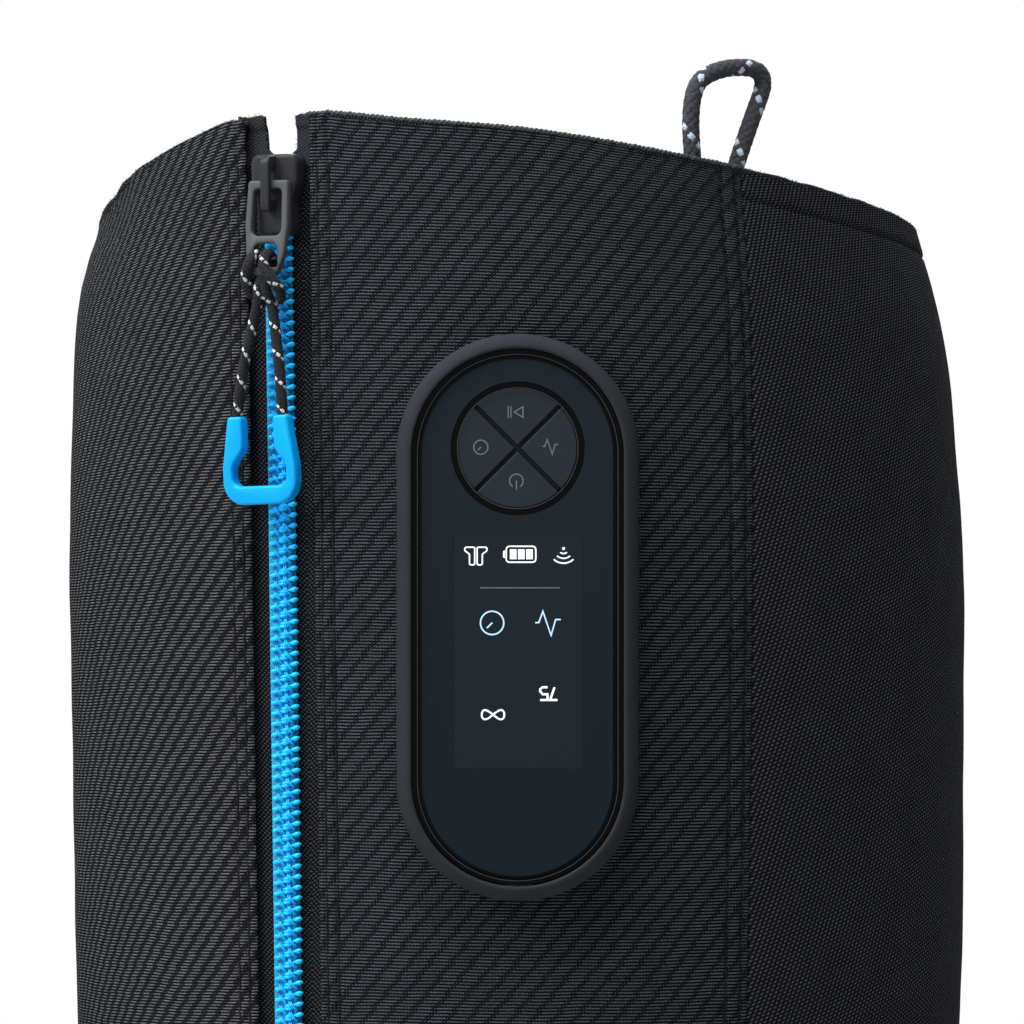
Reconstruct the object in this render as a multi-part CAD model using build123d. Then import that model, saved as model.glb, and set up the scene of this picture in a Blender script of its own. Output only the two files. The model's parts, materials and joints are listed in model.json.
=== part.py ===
"""A full-leg air compression boot with its pump unit set into the thigh, in millimetres.

The boot stands on its sole with +Z up and the toe towards -Y. The origin is the centre of
the boot's footprint, on the floor. The zip runs down the front, and the pump unit sits on
the outer front of the thigh, turned POD_AZIMUTH degrees from the zip. Left and right are
as seen from the front.
"""

from build123d import *
from math import atan2, cos, degrees, radians, sin, sqrt, tan
import os

# ---- Driving dimensions: the boot -----------------------------------------------------
RIM_Z = 800.0  # highest point of the thigh rim, beside the zip
FRONT_TOP_Y = -76.2  # where the zip line starts at RIM_Z
FRONT_DRIFT = 16.0 / 660.0  # how far the zip line leans back for each millimetre down
# Height and radius of the leg, from just above the rim down to the ankle.
LEG_PROFILE = [
    (830.0, 115.0), (815.0, 116.5), (800.0, 118.0), (785.0, 120.0), (770.0, 122.5),
    (757.0, 125.0), (745.0, 127.0), (733.0, 128.3), (715.0, 129.5), (690.0, 130.8),
    (650.0, 131.3), (600.0, 130.6), (545.0, 129.5), (490.0, 124.5), (440.0, 116.0),
    (390.0, 109.0), (330.0, 101.0), (280.0, 91.0), (230.0, 81.5), (190.0, 76.0),
    (165.0, 74.0), (150.0, 73.5),
]
# Height and thickness of the inflated wall. It is thin at the rim, where no air reaches.
WALL_PROFILE = [
    (830.0, 6.0), (785.0, 6.0), (770.0, 7.0), (757.0, 12.0), (745.0, 25.0), (733.0, 33.0),
    (715.0, 34.0), (600.0, 34.0), (500.0, 30.0), (440.0, 28.0), (330.0, 26.0), (230.0, 22.0),
    (150.0, 20.0),
]
HEEL_TOP_Z = 280.0  # the heel column repeats the leg's rings from here down to FOOT_TOP_Z
# The heel column below the ankle: height, centre along Y, half-width, half-length, wall.
HEEL_PROFILE = [
    (130.0, 15.0, 70.0, 75.0, 19.0), (95.0, 17.0, 65.0, 77.0, 17.0),
    (55.0, 18.5, 61.5, 77.5, 16.0), (25.0, 18.0, 60.5, 76.5, 15.0),
    (8.0, 17.0, 57.5, 73.5, 14.0), (-6.0, 15.5, 52.0, 67.5, 14.0),
]
# The forefoot, from inside the heel to the toe: distance along Y, top, bottom, half-width, wall.
FOREFOOT = [
    (20.0, 132.0, -12.0, 52.0, 16.0), (-30.0, 139.0, -12.0, 56.0, 16.0),
    (-58.0, 137.0, -12.0, 57.5, 15.0), (-74.0, 126.0, -12.0, 57.0, 14.0),
    (-90.0, 115.5, -12.0, 57.5, 14.0), (-107.0, 107.0, -12.0, 58.5, 14.0),
    (-128.0, 98.5, -11.0, 59.5, 14.0), (-150.0, 88.0, -10.0, 58.5, 14.0),
    (-168.0, 77.0, -6.0, 53.0, 14.0), (-180.0, 67.0, 1.0, 43.5, 14.0),
    (-187.0, 57.0, 9.0, 31.5, 13.0), (-190.0, 46.0, 20.0, 16.0, 11.0),
]
TOE_INSET_START = -168.0  # in front of this the inner skins stop short of the outer one
FOOT_TOP_Z = 165.0
SOLE_T = 4.0
FOOT_FLOOR = 16.0  # the top of the padding under the foot
COVER_T = 2.0
LINING_T = 1.5
BINDING_H = 2.6
# The rim's height along the direction across the pump unit's face, left to right.
RIM_CURVE = [
    (-136.0, 760.0), (-121.0, 769.0), (-112.5, 780.0), (-101.5, 788.0), (-87.0, 794.5),
    (-74.0, 799.0), (-52.0, 799.6), (-30.0, 797.0), (-5.0, 795.0), (22.0, 791.5),
    (48.0, 787.0), (74.0, 782.0), (93.0, 777.5), (109.0, 772.5), (120.0, 766.0), (136.0, 760.0),
]
RIM_AXIS_Y = 58.3  # the leg's axis that the rim curve is measured from
CHAMBER_TOPS = {"thigh": 748.0, "knee": 560.0, "calf": 375.0, "heel": 190.0}
CHAMBER_GAP = 2.0
FOOT_CHAMBER_EASE = 0.6  # the foot's chambers stand this far in from the covers
FOREFOOT_CHAMBER_Y = -72.0  # the heel chamber ends and the forefoot chamber starts here
SEAM_AXIS_Y = 20.0  # the panel seams lie in upright planes through this line
RIGHT_SEAM_AT = (112.5, -9.0)
LEFT_SEAM_AT = (-118.0, 92.0)
ROPE_D = 4.7
ROPE_START = (98.3, -19.2)  # where the hang loop leaves the rim, in plan
ROPE_HEADING = 61.1  # the direction in plan from one end of the loop to the other
# The hang loop's corners: distance along that heading, and height.
ROPE_ROUTE = [(0.8, 786.3), (-1.8, 808.5), (10.0, 816.2), (24.8, 812.5), (16.2, 783.9)]

# ---- Driving dimensions: the zip ------------------------------------------------------
ZIP_LENGTH = 580.0
COVER_SLOT_HALF = 10.2
WALL_SLIT_HALF = 15.6
TAPE_OUTER_HALF = 13.5
CHAIN_SLOT_HALF = 0.8  # runs the whole chain, for the slider's wedge
COIL_HALF = 4.8
COIL_START = -13.5
TAPE_FACE, TAPE_BACK = -3.4, -4.6
COIL_TOP = 0.2
TAPE_GAP_HALF_TOP = 4.6  # each tape end stands this far from the middle above the slider
TAPE_TOP = -1.5
STOP_LENGTH = 4.0
SLIDER_TOP, SLIDER_BOTTOM = -12.0, -34.2
SLIDER_HALF_WIDE, SLIDER_HALF_NARROW = 7.4, 6.4
SLIDER_PLATE = (0.5, 2.3)
SLIDER_UNDER = (-7.0, -5.0)
SLIDER_FLANGE = (5.15, -3.0)  # inner face and lowest edge of the plate's side flanges
SLIDER_NECK = (0.45, 3.0)  # half-thickness and length of the wedge between the plates
BRIDGE_HALF = 1.5
BRIDGE_TOP = 6.6
BRIDGE_ARCH = 4.9  # underside of the bridge, out from the cover
BRIDGE_ENDS = (-12.6, -27.6)
BRIDGE_POSTS = (-15.5, -24.6)  # inner faces of the two posts, along the chain
TAB_HINGE = (-20.4, 3.6)  # along the chain and out from the cover
TAB_BAR_R = 1.1
TAB_TILT = 6.0
TAB_LENGTH = 24.0  # hinge bar to hitch bar
TAB_HALF, TAB_END_HALF = 6.65, 5.6
TAB_SHOULDER = -16.0  # the tab narrows below this
TAB_WINDOW = (4.7, -13.5)  # half-width and lower end of the window round the bridge
TAB_EYE = (3.6, -15.6)  # half-width and upper end of the eye that the cord is in
TAB_HOLE_ROUND = 0.8
HITCH_R, HITCH_HALF, HITCH_BORE_R = 4.3, 3.1, 1.45
COLLAR_HALF, COLLAR_TOP, COLLAR_BOTTOM = 6.4, -47.4, -53.0
COLLAR_DEPTH, COLLAR_T = 6.3, 7.0
CORD_D = 3.2
STRAND_TOP_XS = (-2.2, 1.7)
STRAND_TOP_DEPTH = 6.3
GRIP_AT = (-2.0, -83.5, 7.0)  # the middle of the grip's two arm ends
GRIP_ROLL = 2.0
GRIP_T = 4.0
GRIP_ARM_HALF = 7.3  # from the grip's middle to each cord
# The grip's outline, half of it: across, down from the arm ends, and corner radius.
GRIP_OUTLINE = [
    (5.0, 0.0, 1.0), (5.0, -9.0, 3.0), (8.6, -13.2, 4.0), (8.6, -19.1, 2.6),
    (11.7, -24.2, 6.5), (11.7, -14.0, 8.0), (9.5, 0.0, 1.0),
]

# ---- Driving dimensions: the pump unit ------------------------------------------------
POD_AZIMUTH = 29.5
POD_Z = 661.6
BEZEL_W, BEZEL_L = 65.6, 153.6
BEZEL_RING = 4.1
BEZEL_FRONT, BEZEL_BACK = 8.5, -7.0
BEZEL_ROUND = 1.8
LEDGE = 2.2
MID_BACK, MID_FRONT = 1.0, 3.0
PLATE_W, PLATE_L = 52.2, 140.4
PLATE_FRONT = 6.5
DPAD_Y = 45.7
DPAD_HOLE_R = 18.1
DPAD_WELL_R = 16.45
DPAD_COLLAR_R, DPAD_COLLAR_TOP = 17.9, 4.6
BUTTON_R = 16.1
BUTTON_GAP = 1.1
BUTTON_TOP = 5.9
BUTTON_FLANGE_R, BUTTON_FLANGE_T = 17.1, 0.8
BUTTON_ANGLES = {"pulse": 0.0, "play": 90.0, "dial": 180.0, "power": 270.0}
SWITCH_AT_R = 9.0
DISPLAY_Y = -9.4
DISPLAY_W, DISPLAY_L = 34.8, 63.4
MODULE_W, MODULE_L = 38.0, 67.0
CASE_BACK = -28.0
CASE_WALL = 2.2
CASE_FILLET = 8.0
BOARD_TOP, BOARD_BOTTOM = -3.0, -4.6
BOARD_W, BOARD_L = 48.0, 138.0
SCREW_X, SCREW_YS = 27.3, (-45.0, 0.0, 45.0)
SCREW_R, SCREW_HEAD_R = 1.1, 2.1
BOSS_R = 3.0
BATTERY_W, BATTERY_L, BATTERY_Y = 40.0, 58.0, 34.0
MOTOR_X, MOTOR_R, MOTOR_DEPTH = -10.0, 10.0, -15.4
MOTOR_YS = (-29.0, 1.0)
HEAD_YS = (-49.0, -29.0)
MANIFOLD_YS = (-60.0, -52.0)
PORT_W, PORT_L, PORT_T = 9.0, 7.2, 3.2
PORT_OUTER_Y, PORT_DEPTH = -76.6, 0.6
PORT_MOUTH_W, PORT_MOUTH_T = 8.3, 2.6
TUBE_D = 4.5
TUBE_LEAN = 2.0  # degrees that the tubes lean in towards the leg
TUBE_XS = {"heel": -9.0, "calf": -3.0, "knee": 3.0, "thigh": 9.0}
TUBE_REACH = {"heel": 430.0, "calf": 255.0, "knee": 70.0, "thigh": 30.0}
RETAINER_T = 1.5
RETAINER_RIM = 5.0
FIT = 0.15


# ---- Shape of the boot ----------------------------------------------------------------
def between(table, z):
    """Straight-line value of a falling (height, value) table at height z."""
    for (z_hi, v_hi), (z_lo, v_lo) in zip(table, table[1:]):
        if z >= z_lo:
            return v_lo + (v_hi - v_lo) * (z - z_lo) / (z_hi - z_lo)
    return table[-1][1]


def front_y(z):
    """Where the zip line is at height z."""
    return FRONT_TOP_Y + (RIM_Z - z) * FRONT_DRIFT


def slab(z_low, z_high):
    """A level slab wide enough to hold the whole boot."""
    return Pos(0, 0, (z_low + z_high) / 2) * Box(600, 600, z_high - z_low)


def level_ring(y, z, half_x, half_y):
    """The face of a level elliptical section."""
    return (Plane(origin=(0, y, z)) * Ellipse(half_x, half_y)).face()


def leg_rings(inset, z_top=LEG_PROFILE[0][0]):
    """The leg's round sections below z_top, moved in by inset(wall thickness)."""
    rings = []
    for z, radius in LEG_PROFILE:
        if z <= z_top:
            moved = radius - inset(between(WALL_PROFILE, z))
            rings.append(level_ring(front_y(z) + radius, z, moved, moved))
    return rings


def leg_form(inset):
    """The closed leg, with its surface moved in by inset(wall thickness)."""
    return loft(leg_rings(inset))


def foot_form(inset, floor, top):
    """The closed foot between two heights: a heel column joined to a forefoot."""
    rings = leg_rings(inset, HEEL_TOP_Z)[:-1]
    for z, y, half_x, half_y, wall in HEEL_PROFILE:
        rings.append(level_ring(y, z, half_x - inset(wall), half_y - inset(wall)))
    toe_rings = []
    for y, upper, lower, half_x, wall in FOREFOOT:
        moved = inset(wall)
        shift = moved if y < TOE_INSET_START else 0
        plane = Plane(origin=(0, y + shift, (upper + lower) / 2), x_dir=(1, 0, 0), z_dir=(0, -1, 0))
        half_z = max((upper - lower) / 2 - moved, 4.0 + half_x * 0.02)
        toe_rings.append((plane * Ellipse(max(half_x - moved, 4.0 + half_x * 0.05), half_z)).face())
    kept = slab(floor, top)
    return (loft(rings) & kept) + (loft(toe_rings) & kept)


def rim_tool(drop):
    """Everything above the rim curve lowered by drop, as one solid to cut with."""
    points = [(u, z - drop) for u, z in RIM_CURVE]
    top = 900.0
    sides = Polyline(points[-1], (points[-1][0], top), (points[0][0], top), points[0])
    across = (cos(radians(POD_AZIMUTH)), sin(radians(POD_AZIMUTH)), 0)
    out = (sin(radians(POD_AZIMUTH)), -cos(radians(POD_AZIMUTH)), 0)
    plane = Plane(origin=(0, RIM_AXIS_Y, 0), x_dir=across, z_dir=out)
    return plane * extrude(make_face([Spline(*points), sides]), amount=250, both=True)


def seam_side(point, side):
    """Half-space on one side of the upright plane from the seam axis through point."""
    angle = degrees(atan2(point[1] - SEAM_AXIS_Y, point[0]))
    half = Pos(0, side * 250, 400) * Box(1200, 500, 1000)
    return Pos(0, SEAM_AXIS_Y, 0) * Rot(0, 0, angle) * half


# ---- Local frames ---------------------------------------------------------------------
# In the zip's frame x is across, y is up along the chain and z is out of the cover.
ZIP_OUT = (0, -1 / sqrt(1 + FRONT_DRIFT**2), -FRONT_DRIFT / sqrt(1 + FRONT_DRIFT**2))
ZIP = Plane(origin=(0, FRONT_TOP_Y, RIM_Z), x_dir=(1, 0, 0), z_dir=ZIP_OUT)
# In the tab's frame y runs up the tab from its hinge bar and z is out of its face.
TAB = Pos(0, TAB_HINGE[0], TAB_HINGE[1]) * Rot(-TAB_TILT, 0, 0)
# In the pump unit's frame x is across, y is up and z is out of the thigh.
POD_OUT = (sin(radians(POD_AZIMUTH)), -cos(radians(POD_AZIMUTH)), 0)
POD_RADIUS = between(LEG_PROFILE, POD_Z)
POD_AT = (POD_OUT[0] * POD_RADIUS, front_y(POD_Z) + POD_RADIUS * (1 + POD_OUT[1]), POD_Z)
POD = Plane(
    origin=POD_AT,
    x_dir=(cos(radians(POD_AZIMUTH)), sin(radians(POD_AZIMUTH)), 0),
    z_dir=POD_OUT,
)


# ---- Shared shapes --------------------------------------------------------------------
def span_box(xs, ys, zs):
    """A box from its low and high values along each axis."""
    middle = Pos((xs[0] + xs[1]) / 2, (ys[0] + ys[1]) / 2, (zs[0] + zs[1]) / 2)
    return middle * Box(abs(xs[1] - xs[0]), abs(ys[1] - ys[0]), abs(zs[1] - zs[0]))


def stadium(width, length, low, high):
    """An upright round-ended block, centred, from low to high along z."""
    return Pos(0, 0, low) * extrude(SlotOverall(length, width, rotation=90), amount=high - low)


def disc(x, y, low, high, radius):
    """A round block standing on low, at x, y."""
    return Pos(x, y, (low + high) / 2) * Cylinder(radius, high - low)


def bar_along_x(y, z, radius, half):
    """A round bar across the zip's frame."""
    return Pos(0, y, z) * Rot(0, 90, 0) * Cylinder(radius, 2 * half)


def tube_between(start, end, radius):
    """A straight round rod from start to end."""
    line = Line(start, end)
    return sweep(Plane(origin=start, z_dir=line % 0) * Circle(radius), path=line)


def cord(name, points, diameter):
    """A plain cord along straight runs joined by arcs, whose radii are printed."""
    vectors = [Vector(*p) for p in points]
    radii = []
    for before, corner, after in zip(vectors, vectors[1:], vectors[2:]):
        turn = (corner - before).get_angle(after - corner)
        run = min((corner - before).length, (after - corner).length)
        radii.append(0.45 * run / tan(radians(turn / 2)))
    print(f"{name}: bend radii {[round(r, 2) for r in radii]}")
    path = FilletPolyline(*points, radius=radii)
    print(f"{name}: length {path.length:.1f}")
    return sweep(Plane(origin=path @ 0, z_dir=path % 0) * Circle(diameter / 2), path=path)


os.makedirs("parts", exist_ok=True)


def save(name, shape):
    """Writes one node."""
    export_step(shape, f"parts/{name}.step")


# ---- Sleeve: covers, rim and sole -----------------------------------------------------
leg_outer = leg_form(lambda wall: 0)
leg_cover_inside = leg_form(lambda wall: COVER_T)
leg_cavity = leg_form(lambda wall: wall)
foot_outer = foot_form(lambda wall: 0, 0, FOOT_TOP_Z)
above_rim = rim_tool(0)
above_cover = rim_tool(BINDING_H)
cover_slot = ZIP * span_box((-COVER_SLOT_HALF, COVER_SLOT_HALF), (-ZIP_LENGTH, 60), (-60, 20))
wall_slit = ZIP * span_box((-WALL_SLIT_HALF, WALL_SLIT_HALF), (-ZIP_LENGTH - 4, 60), (-70, 20))
pod_opening = POD * stadium(BEZEL_W + 2 * FIT, BEZEL_L + 2 * FIT, -20, 30)

leg_cover = leg_outer - leg_cover_inside - above_cover - cover_slot - pod_opening
leg_cover = leg_cover & slab(FOOT_TOP_Z, 900)
front_region = seam_side(RIGHT_SEAM_AT, -1) & (Pos(300, 0, 400) * Box(600, 1200, 1000))
side_region = seam_side(LEFT_SEAM_AT, 1) & (Pos(-300, 0, 400) * Box(600, 1200, 1000))
save("front_panel", leg_cover & front_region)
save("side_panel", leg_cover & side_region)
save("back_panel", leg_cover - front_region - side_region)
foot_inside = foot_form(lambda wall: COVER_T, -1, FOOT_TOP_Z + 1)
save("foot_cover", (foot_outer - foot_inside) & slab(SOLE_T, FOOT_TOP_Z))
save("outsole", foot_outer & slab(0, SOLE_T))

rim_band = (leg_outer - leg_cavity - above_rim) & above_cover
behind_cover = ZIP * span_box((-WALL_SLIT_HALF, WALL_SLIT_HALF), (-60, 60), (-70, -COVER_T))
save("rim_binding", rim_band - cover_slot - behind_cover)

rope_x, rope_y = cos(radians(ROPE_HEADING)), sin(radians(ROPE_HEADING))
rope_points = [
    (ROPE_START[0] + s * rope_x, ROPE_START[1] + s * rope_y, z) for s, z in ROPE_ROUTE
]
save("hang_loop", cord("hang_loop", rope_points, ROPE_D))

# ---- Sleeve: air chambers and lining --------------------------------------------------
leg_lining_outside = leg_form(lambda wall: wall - LINING_T)
foot_lining_outside = foot_form(
    lambda wall: wall - LINING_T, FOOT_FLOOR - LINING_T, CHAMBER_TOPS["heel"] + 5
)
foot_cavity = foot_form(lambda wall: wall, FOOT_FLOOR, CHAMBER_TOPS["heel"] + 10)
pod_pocket = POD * stadium(BEZEL_W + 2, BEZEL_L + 2, CASE_BACK - 1, 30)
rim_pocket = POD * stadium(BEZEL_W + 2 * RETAINER_RIM + 1, BEZEL_L + 2 * RETAINER_RIM + 1, -12, 30)
tube_way = Vector(0, -cos(radians(TUBE_LEAN)), -sin(radians(TUBE_LEAN)))


def air_tube(name, radius):
    """The straight tube from the valve manifold to one chamber, in the pump unit's frame."""
    start = Vector(TUBE_XS[name], MANIFOLD_YS[0] - 0.1, MOTOR_DEPTH)
    return tube_between(start, start + tube_way * TUBE_REACH[name], radius)


tube_channels = Compound([POD * air_tube(name, TUBE_D / 2 + 0.35) for name in TUBE_XS])
leg_wall = leg_cover_inside - leg_lining_outside - wall_slit - pod_pocket - rim_pocket
tops = list(CHAMBER_TOPS.values())
for name, top, bottom in zip(CHAMBER_TOPS, tops, tops[1:]):
    chamber = leg_wall & slab(bottom + CHAMBER_GAP, top)
    for channel in tube_channels:
        chamber = chamber - channel
    save(f"air_chamber_{name}", chamber)
foot_wall = foot_form(lambda wall: COVER_T + FOOT_CHAMBER_EASE, SOLE_T, CHAMBER_TOPS["heel"])
foot_wall -= foot_lining_outside
toe_half = Pos(0, FOREFOOT_CHAMBER_Y - 300, 0) * Box(600, 600, 600)
heel_half = Pos(0, FOREFOOT_CHAMBER_Y + CHAMBER_GAP + 300, 0) * Box(600, 600, 600)
save("air_chamber_heel", (foot_wall & heel_half) - POD * air_tube("heel", TUBE_D / 2 + 0.35))
save("air_chamber_forefoot", foot_wall & toe_half)

rim_padding = (leg_cover_inside - leg_lining_outside - above_cover - wall_slit) & slab(
    CHAMBER_TOPS["thigh"] + CHAMBER_GAP, 900
)
save("rim_padding", rim_padding)
leg_lining = leg_lining_outside - leg_cavity - above_cover - wall_slit
save("leg_lining", leg_lining & slab(CHAMBER_TOPS["heel"], 900))
save("foot_lining", (foot_lining_outside - foot_cavity) & slab(0, CHAMBER_TOPS["heel"]))

# ---- Zip ------------------------------------------------------------------------------
chain_gap = [
    (TAPE_GAP_HALF_TOP, 20), (TAPE_GAP_HALF_TOP, TAPE_TOP), (CHAIN_SLOT_HALF, SLIDER_TOP - 2),
    (CHAIN_SLOT_HALF, -ZIP_LENGTH - 20),
]
chain_gap += [(-x, y) for x, y in reversed(chain_gap)]
chain_gap_tool = extrude(make_face(Polyline(*chain_gap, close=True)), amount=20, both=True)
chain_end = -ZIP_LENGTH + STOP_LENGTH + 1
for side, name in ((-1, "left"), (1, "right")):
    tape = span_box((0, side * TAPE_OUTER_HALF), (TAPE_TOP, -ZIP_LENGTH - 2), (TAPE_BACK, TAPE_FACE))
    save(f"zip_tape_{name}", ZIP * (tape - chain_gap_tool))
    coil_x = (side * CHAIN_SLOT_HALF, side * COIL_HALF)
    save(f"zip_coil_{name}", ZIP * span_box(coil_x, (COIL_START, chain_end), (TAPE_FACE, COIL_TOP)))
stop = span_box((-5.2, 5.2), (chain_end, chain_end - STOP_LENGTH), (TAPE_FACE, COIL_TOP + 0.4))
save("zip_bottom_stop", ZIP * stop)


def slider_outline():
    """The slider's plate seen from the front, wider at the end where the tapes part."""
    points = [
        (SLIDER_HALF_WIDE, SLIDER_TOP), (SLIDER_HALF_WIDE, -20.5), (SLIDER_HALF_NARROW, -26.0),
        (SLIDER_HALF_NARROW, SLIDER_BOTTOM),
    ]
    points += [(-x, y) for x, y in reversed(points)]
    radii = [2.6, 4.0, 4.0, 1.2, 1.2, 4.0, 4.0, 2.6]
    return make_face(FilletPolyline(*points, radius=radii, close=True))


def plate(outline, low, high):
    """An outline in the zip's frame made solid from low to high."""
    return Pos(0, 0, low) * extrude(outline, amount=high - low)


def make_slider():
    """Top plate with flanges, wedge, under plate and the bridge that holds the tab."""
    outline = slider_outline()
    flange_x, flange_low = SLIDER_FLANGE
    flanges = plate(outline, flange_low, SLIDER_PLATE[0])
    flanges -= span_box((-flange_x, flange_x), (0, -50), (flange_low - 1, SLIDER_PLATE[0] + 1))
    neck_half, neck_length = SLIDER_NECK
    neck = span_box(
        (-neck_half, neck_half),
        (SLIDER_TOP - 0.4, SLIDER_TOP - neck_length),
        (SLIDER_UNDER[1], SLIDER_PLATE[0]),
    )
    bridge = span_box((-BRIDGE_HALF, BRIDGE_HALF), BRIDGE_ENDS, (SLIDER_PLATE[1], BRIDGE_TOP))
    bridge = fillet(bridge.edges().filter_by(Axis.X).group_by(Axis.Z)[-1], 1.2)
    arch = span_box((-3, 3), BRIDGE_POSTS, (SLIDER_PLATE[1], BRIDGE_ARCH))
    top_plate = plate(outline, *SLIDER_PLATE)
    top_plate = chamfer(top_plate.faces().sort_by(Axis.Z)[-1].edges(), 0.35)
    return top_plate + flanges + neck + plate(outline, *SLIDER_UNDER) + (bridge - arch)


def make_tab():
    """The flat pull tab, with round bars at its hinge and at the cord."""
    outline = [
        (TAB_HALF, 0), (TAB_HALF, TAB_SHOULDER), (TAB_END_HALF, -TAB_LENGTH),
        (-TAB_END_HALF, -TAB_LENGTH), (-TAB_HALF, TAB_SHOULDER), (-TAB_HALF, 0),
    ]
    body = extrude(make_face(Polyline(*outline, close=True)), amount=TAB_BAR_R, both=True)
    for half, top, bottom in (
        (TAB_WINDOW[0], 0, TAB_WINDOW[1]), (TAB_EYE[0], TAB_EYE[1], -TAB_LENGTH)
    ):
        hole = span_box((-half, half), (bottom, top), (-5, 5))
        edges = hole.edges().filter_by(Axis.Z).group_by(Axis.Y)
        body -= fillet(edges[0] if top == 0 else edges[-1], TAB_HOLE_ROUND)
    body += bar_along_x(0, 0, TAB_BAR_R, TAB_HALF)
    return body + bar_along_x(-TAB_LENGTH, 0, TAB_BAR_R, TAB_END_HALF)


def make_grip():
    """The U-shaped finger grip that both cord ends go into."""
    half = [(x, y) for x, y, _ in GRIP_OUTLINE]
    radii = [r for _, _, r in GRIP_OUTLINE]
    # Down the outside of the right arm, round the bar, and back up the inside of both arms.
    points = half[:4] + [(-x, y) for x, y in reversed(half[:4])]
    points += [(-x, y) for x, y in reversed(half[4:])] + half[4:]
    corner_radii = radii[:4] + radii[3::-1] + radii[:3:-1] + radii[4:]
    outline = make_face(FilletPolyline(*points, radius=corner_radii, close=True))
    body = extrude(outline, amount=GRIP_T / 2, both=True)
    faces = body.faces().sort_by(Axis.Z)
    return chamfer(faces[0].edges() + faces[-1].edges(), 0.5)


save("zip_slider", ZIP * make_slider())
save("zip_pull_tab", ZIP * (TAB * make_tab()))
hitch_y = TAB_HINGE[0] - TAB_LENGTH * cos(radians(TAB_TILT))
hitch_depth = TAB_HINGE[1] + TAB_LENGTH * sin(radians(TAB_TILT))
collar = span_box(
    (-COLLAR_HALF, COLLAR_HALF),
    (COLLAR_BOTTOM, COLLAR_TOP),
    (COLLAR_DEPTH - COLLAR_T / 2, COLLAR_DEPTH + COLLAR_T / 2),
)
collar = fillet(collar.edges().filter_by(Axis.X), 1.6)
hitch = bar_along_x(hitch_y, hitch_depth, HITCH_R, HITCH_HALF) + collar
save("pull_cord_hitch", ZIP * (hitch - bar_along_x(hitch_y, hitch_depth, HITCH_BORE_R, 10)))
grip_place = Pos(*GRIP_AT) * Rot(0, 0, GRIP_ROLL)
grip = grip_place * make_grip()
for side, name, top_x in ((-1, "left", STRAND_TOP_XS[0]), (1, "right", STRAND_TOP_XS[1])):
    arm_end = (grip_place * Pos(side * GRIP_ARM_HALF, 0, 0)).position
    strand = tube_between((top_x, COLLAR_BOTTOM + 1, STRAND_TOP_DEPTH), arm_end, CORD_D / 2)
    save(f"pull_cord_{name}", ZIP * (strand - collar - grip))
save("pull_grip", ZIP * grip)

# ---- Pump unit: front -----------------------------------------------------------------
lug_places = [(side * SCREW_X, y) for side in (-1, 1) for y in SCREW_YS]
inner_w, inner_l = BEZEL_W - 2 * BEZEL_RING, BEZEL_L - 2 * BEZEL_RING
port_clear = span_box(
    (-PORT_W / 2 - 0.3, PORT_W / 2 + 0.3),
    (-100, PORT_OUTER_Y + PORT_L + 0.3),
    (PORT_DEPTH - PORT_T / 2 - 0.3, PORT_DEPTH + PORT_T / 2 + 0.3),
)


def make_bezel():
    """The visible ring, with a ledge for the mid frame and lugs for the screws."""
    outer = stadium(BEZEL_W, BEZEL_L, BEZEL_BACK, BEZEL_FRONT)
    outer = fillet(outer.faces().sort_by(Axis.Z)[-1].edges(), BEZEL_ROUND)
    ring = outer - stadium(inner_w, inner_l, BEZEL_BACK - 1, BEZEL_FRONT + 1)
    ledge = stadium(inner_w, inner_l, 0, MID_BACK)
    ring += ledge - stadium(inner_w - 2 * LEDGE, inner_l - 2 * LEDGE, -1, MID_BACK + 1)
    for x, y in lug_places:
        ring += disc(x, y, BEZEL_BACK, 0, BOSS_R) - disc(x, y, BEZEL_BACK, -0.8, SCREW_R + 0.05)
    return ring - port_clear


def make_mid_frame():
    """The glossy frame round the face plate, with the well that the buttons move in."""
    frame = stadium(inner_w - 0.2, inner_l - 0.2, MID_BACK, MID_FRONT)
    frame += disc(0, DPAD_Y, MID_FRONT, DPAD_COLLAR_TOP, DPAD_COLLAR_R)
    frame -= disc(0, DPAD_Y, 0, 10, DPAD_WELL_R)
    frame -= span_box(
        (-MODULE_W / 2 - 0.5, MODULE_W / 2 + 0.5),
        (DISPLAY_Y - MODULE_L / 2 - 0.5, DISPLAY_Y + MODULE_L / 2 + 0.5),
        (0, 10),
    )
    return frame - port_clear


def display_block(clearance, low, high):
    """The display window's outline, grown by clearance."""
    outline = RectangleRounded(DISPLAY_W + 2 * clearance, DISPLAY_L + 2 * clearance, 1.0)
    return Pos(0, DISPLAY_Y, low) * extrude(outline, amount=high - low)


def make_face_plate():
    """The face plate, with the round well for the buttons and the display's window."""
    face = stadium(PLATE_W, PLATE_L, MID_FRONT, PLATE_FRONT)
    face = chamfer(face.faces().sort_by(Axis.Z)[-1].edges(), 0.4)
    face -= disc(0, DPAD_Y, 0, 10, DPAD_HOLE_R)
    return face - display_block(0, 0, 10)


def make_button(angle):
    """A quarter of the button pad, with the flange that holds it in the well."""
    apex = BUTTON_GAP / sqrt(2)
    wedge = make_face(Polyline((apex, 0), (apex + 30, 30), (apex + 30, -30), close=True))
    button = disc(0, 0, 0, BUTTON_TOP, BUTTON_R) + disc(0, 0, 0, BUTTON_FLANGE_T, BUTTON_FLANGE_R)
    button = button & extrude(wedge, amount=20, both=True)
    button = chamfer(button.faces().sort_by(Axis.Z)[-1].edges(), 0.3)
    return Pos(0, DPAD_Y, 0) * Rot(0, 0, angle) * button


save("bezel", POD * make_bezel())
save("mid_frame", POD * make_mid_frame())
save("face_plate", POD * make_face_plate())
save("display_window", POD * display_block(-0.05, MID_FRONT, PLATE_FRONT))
for name, angle in BUTTON_ANGLES.items():
    save(f"button_{name}", POD * make_button(angle))

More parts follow.
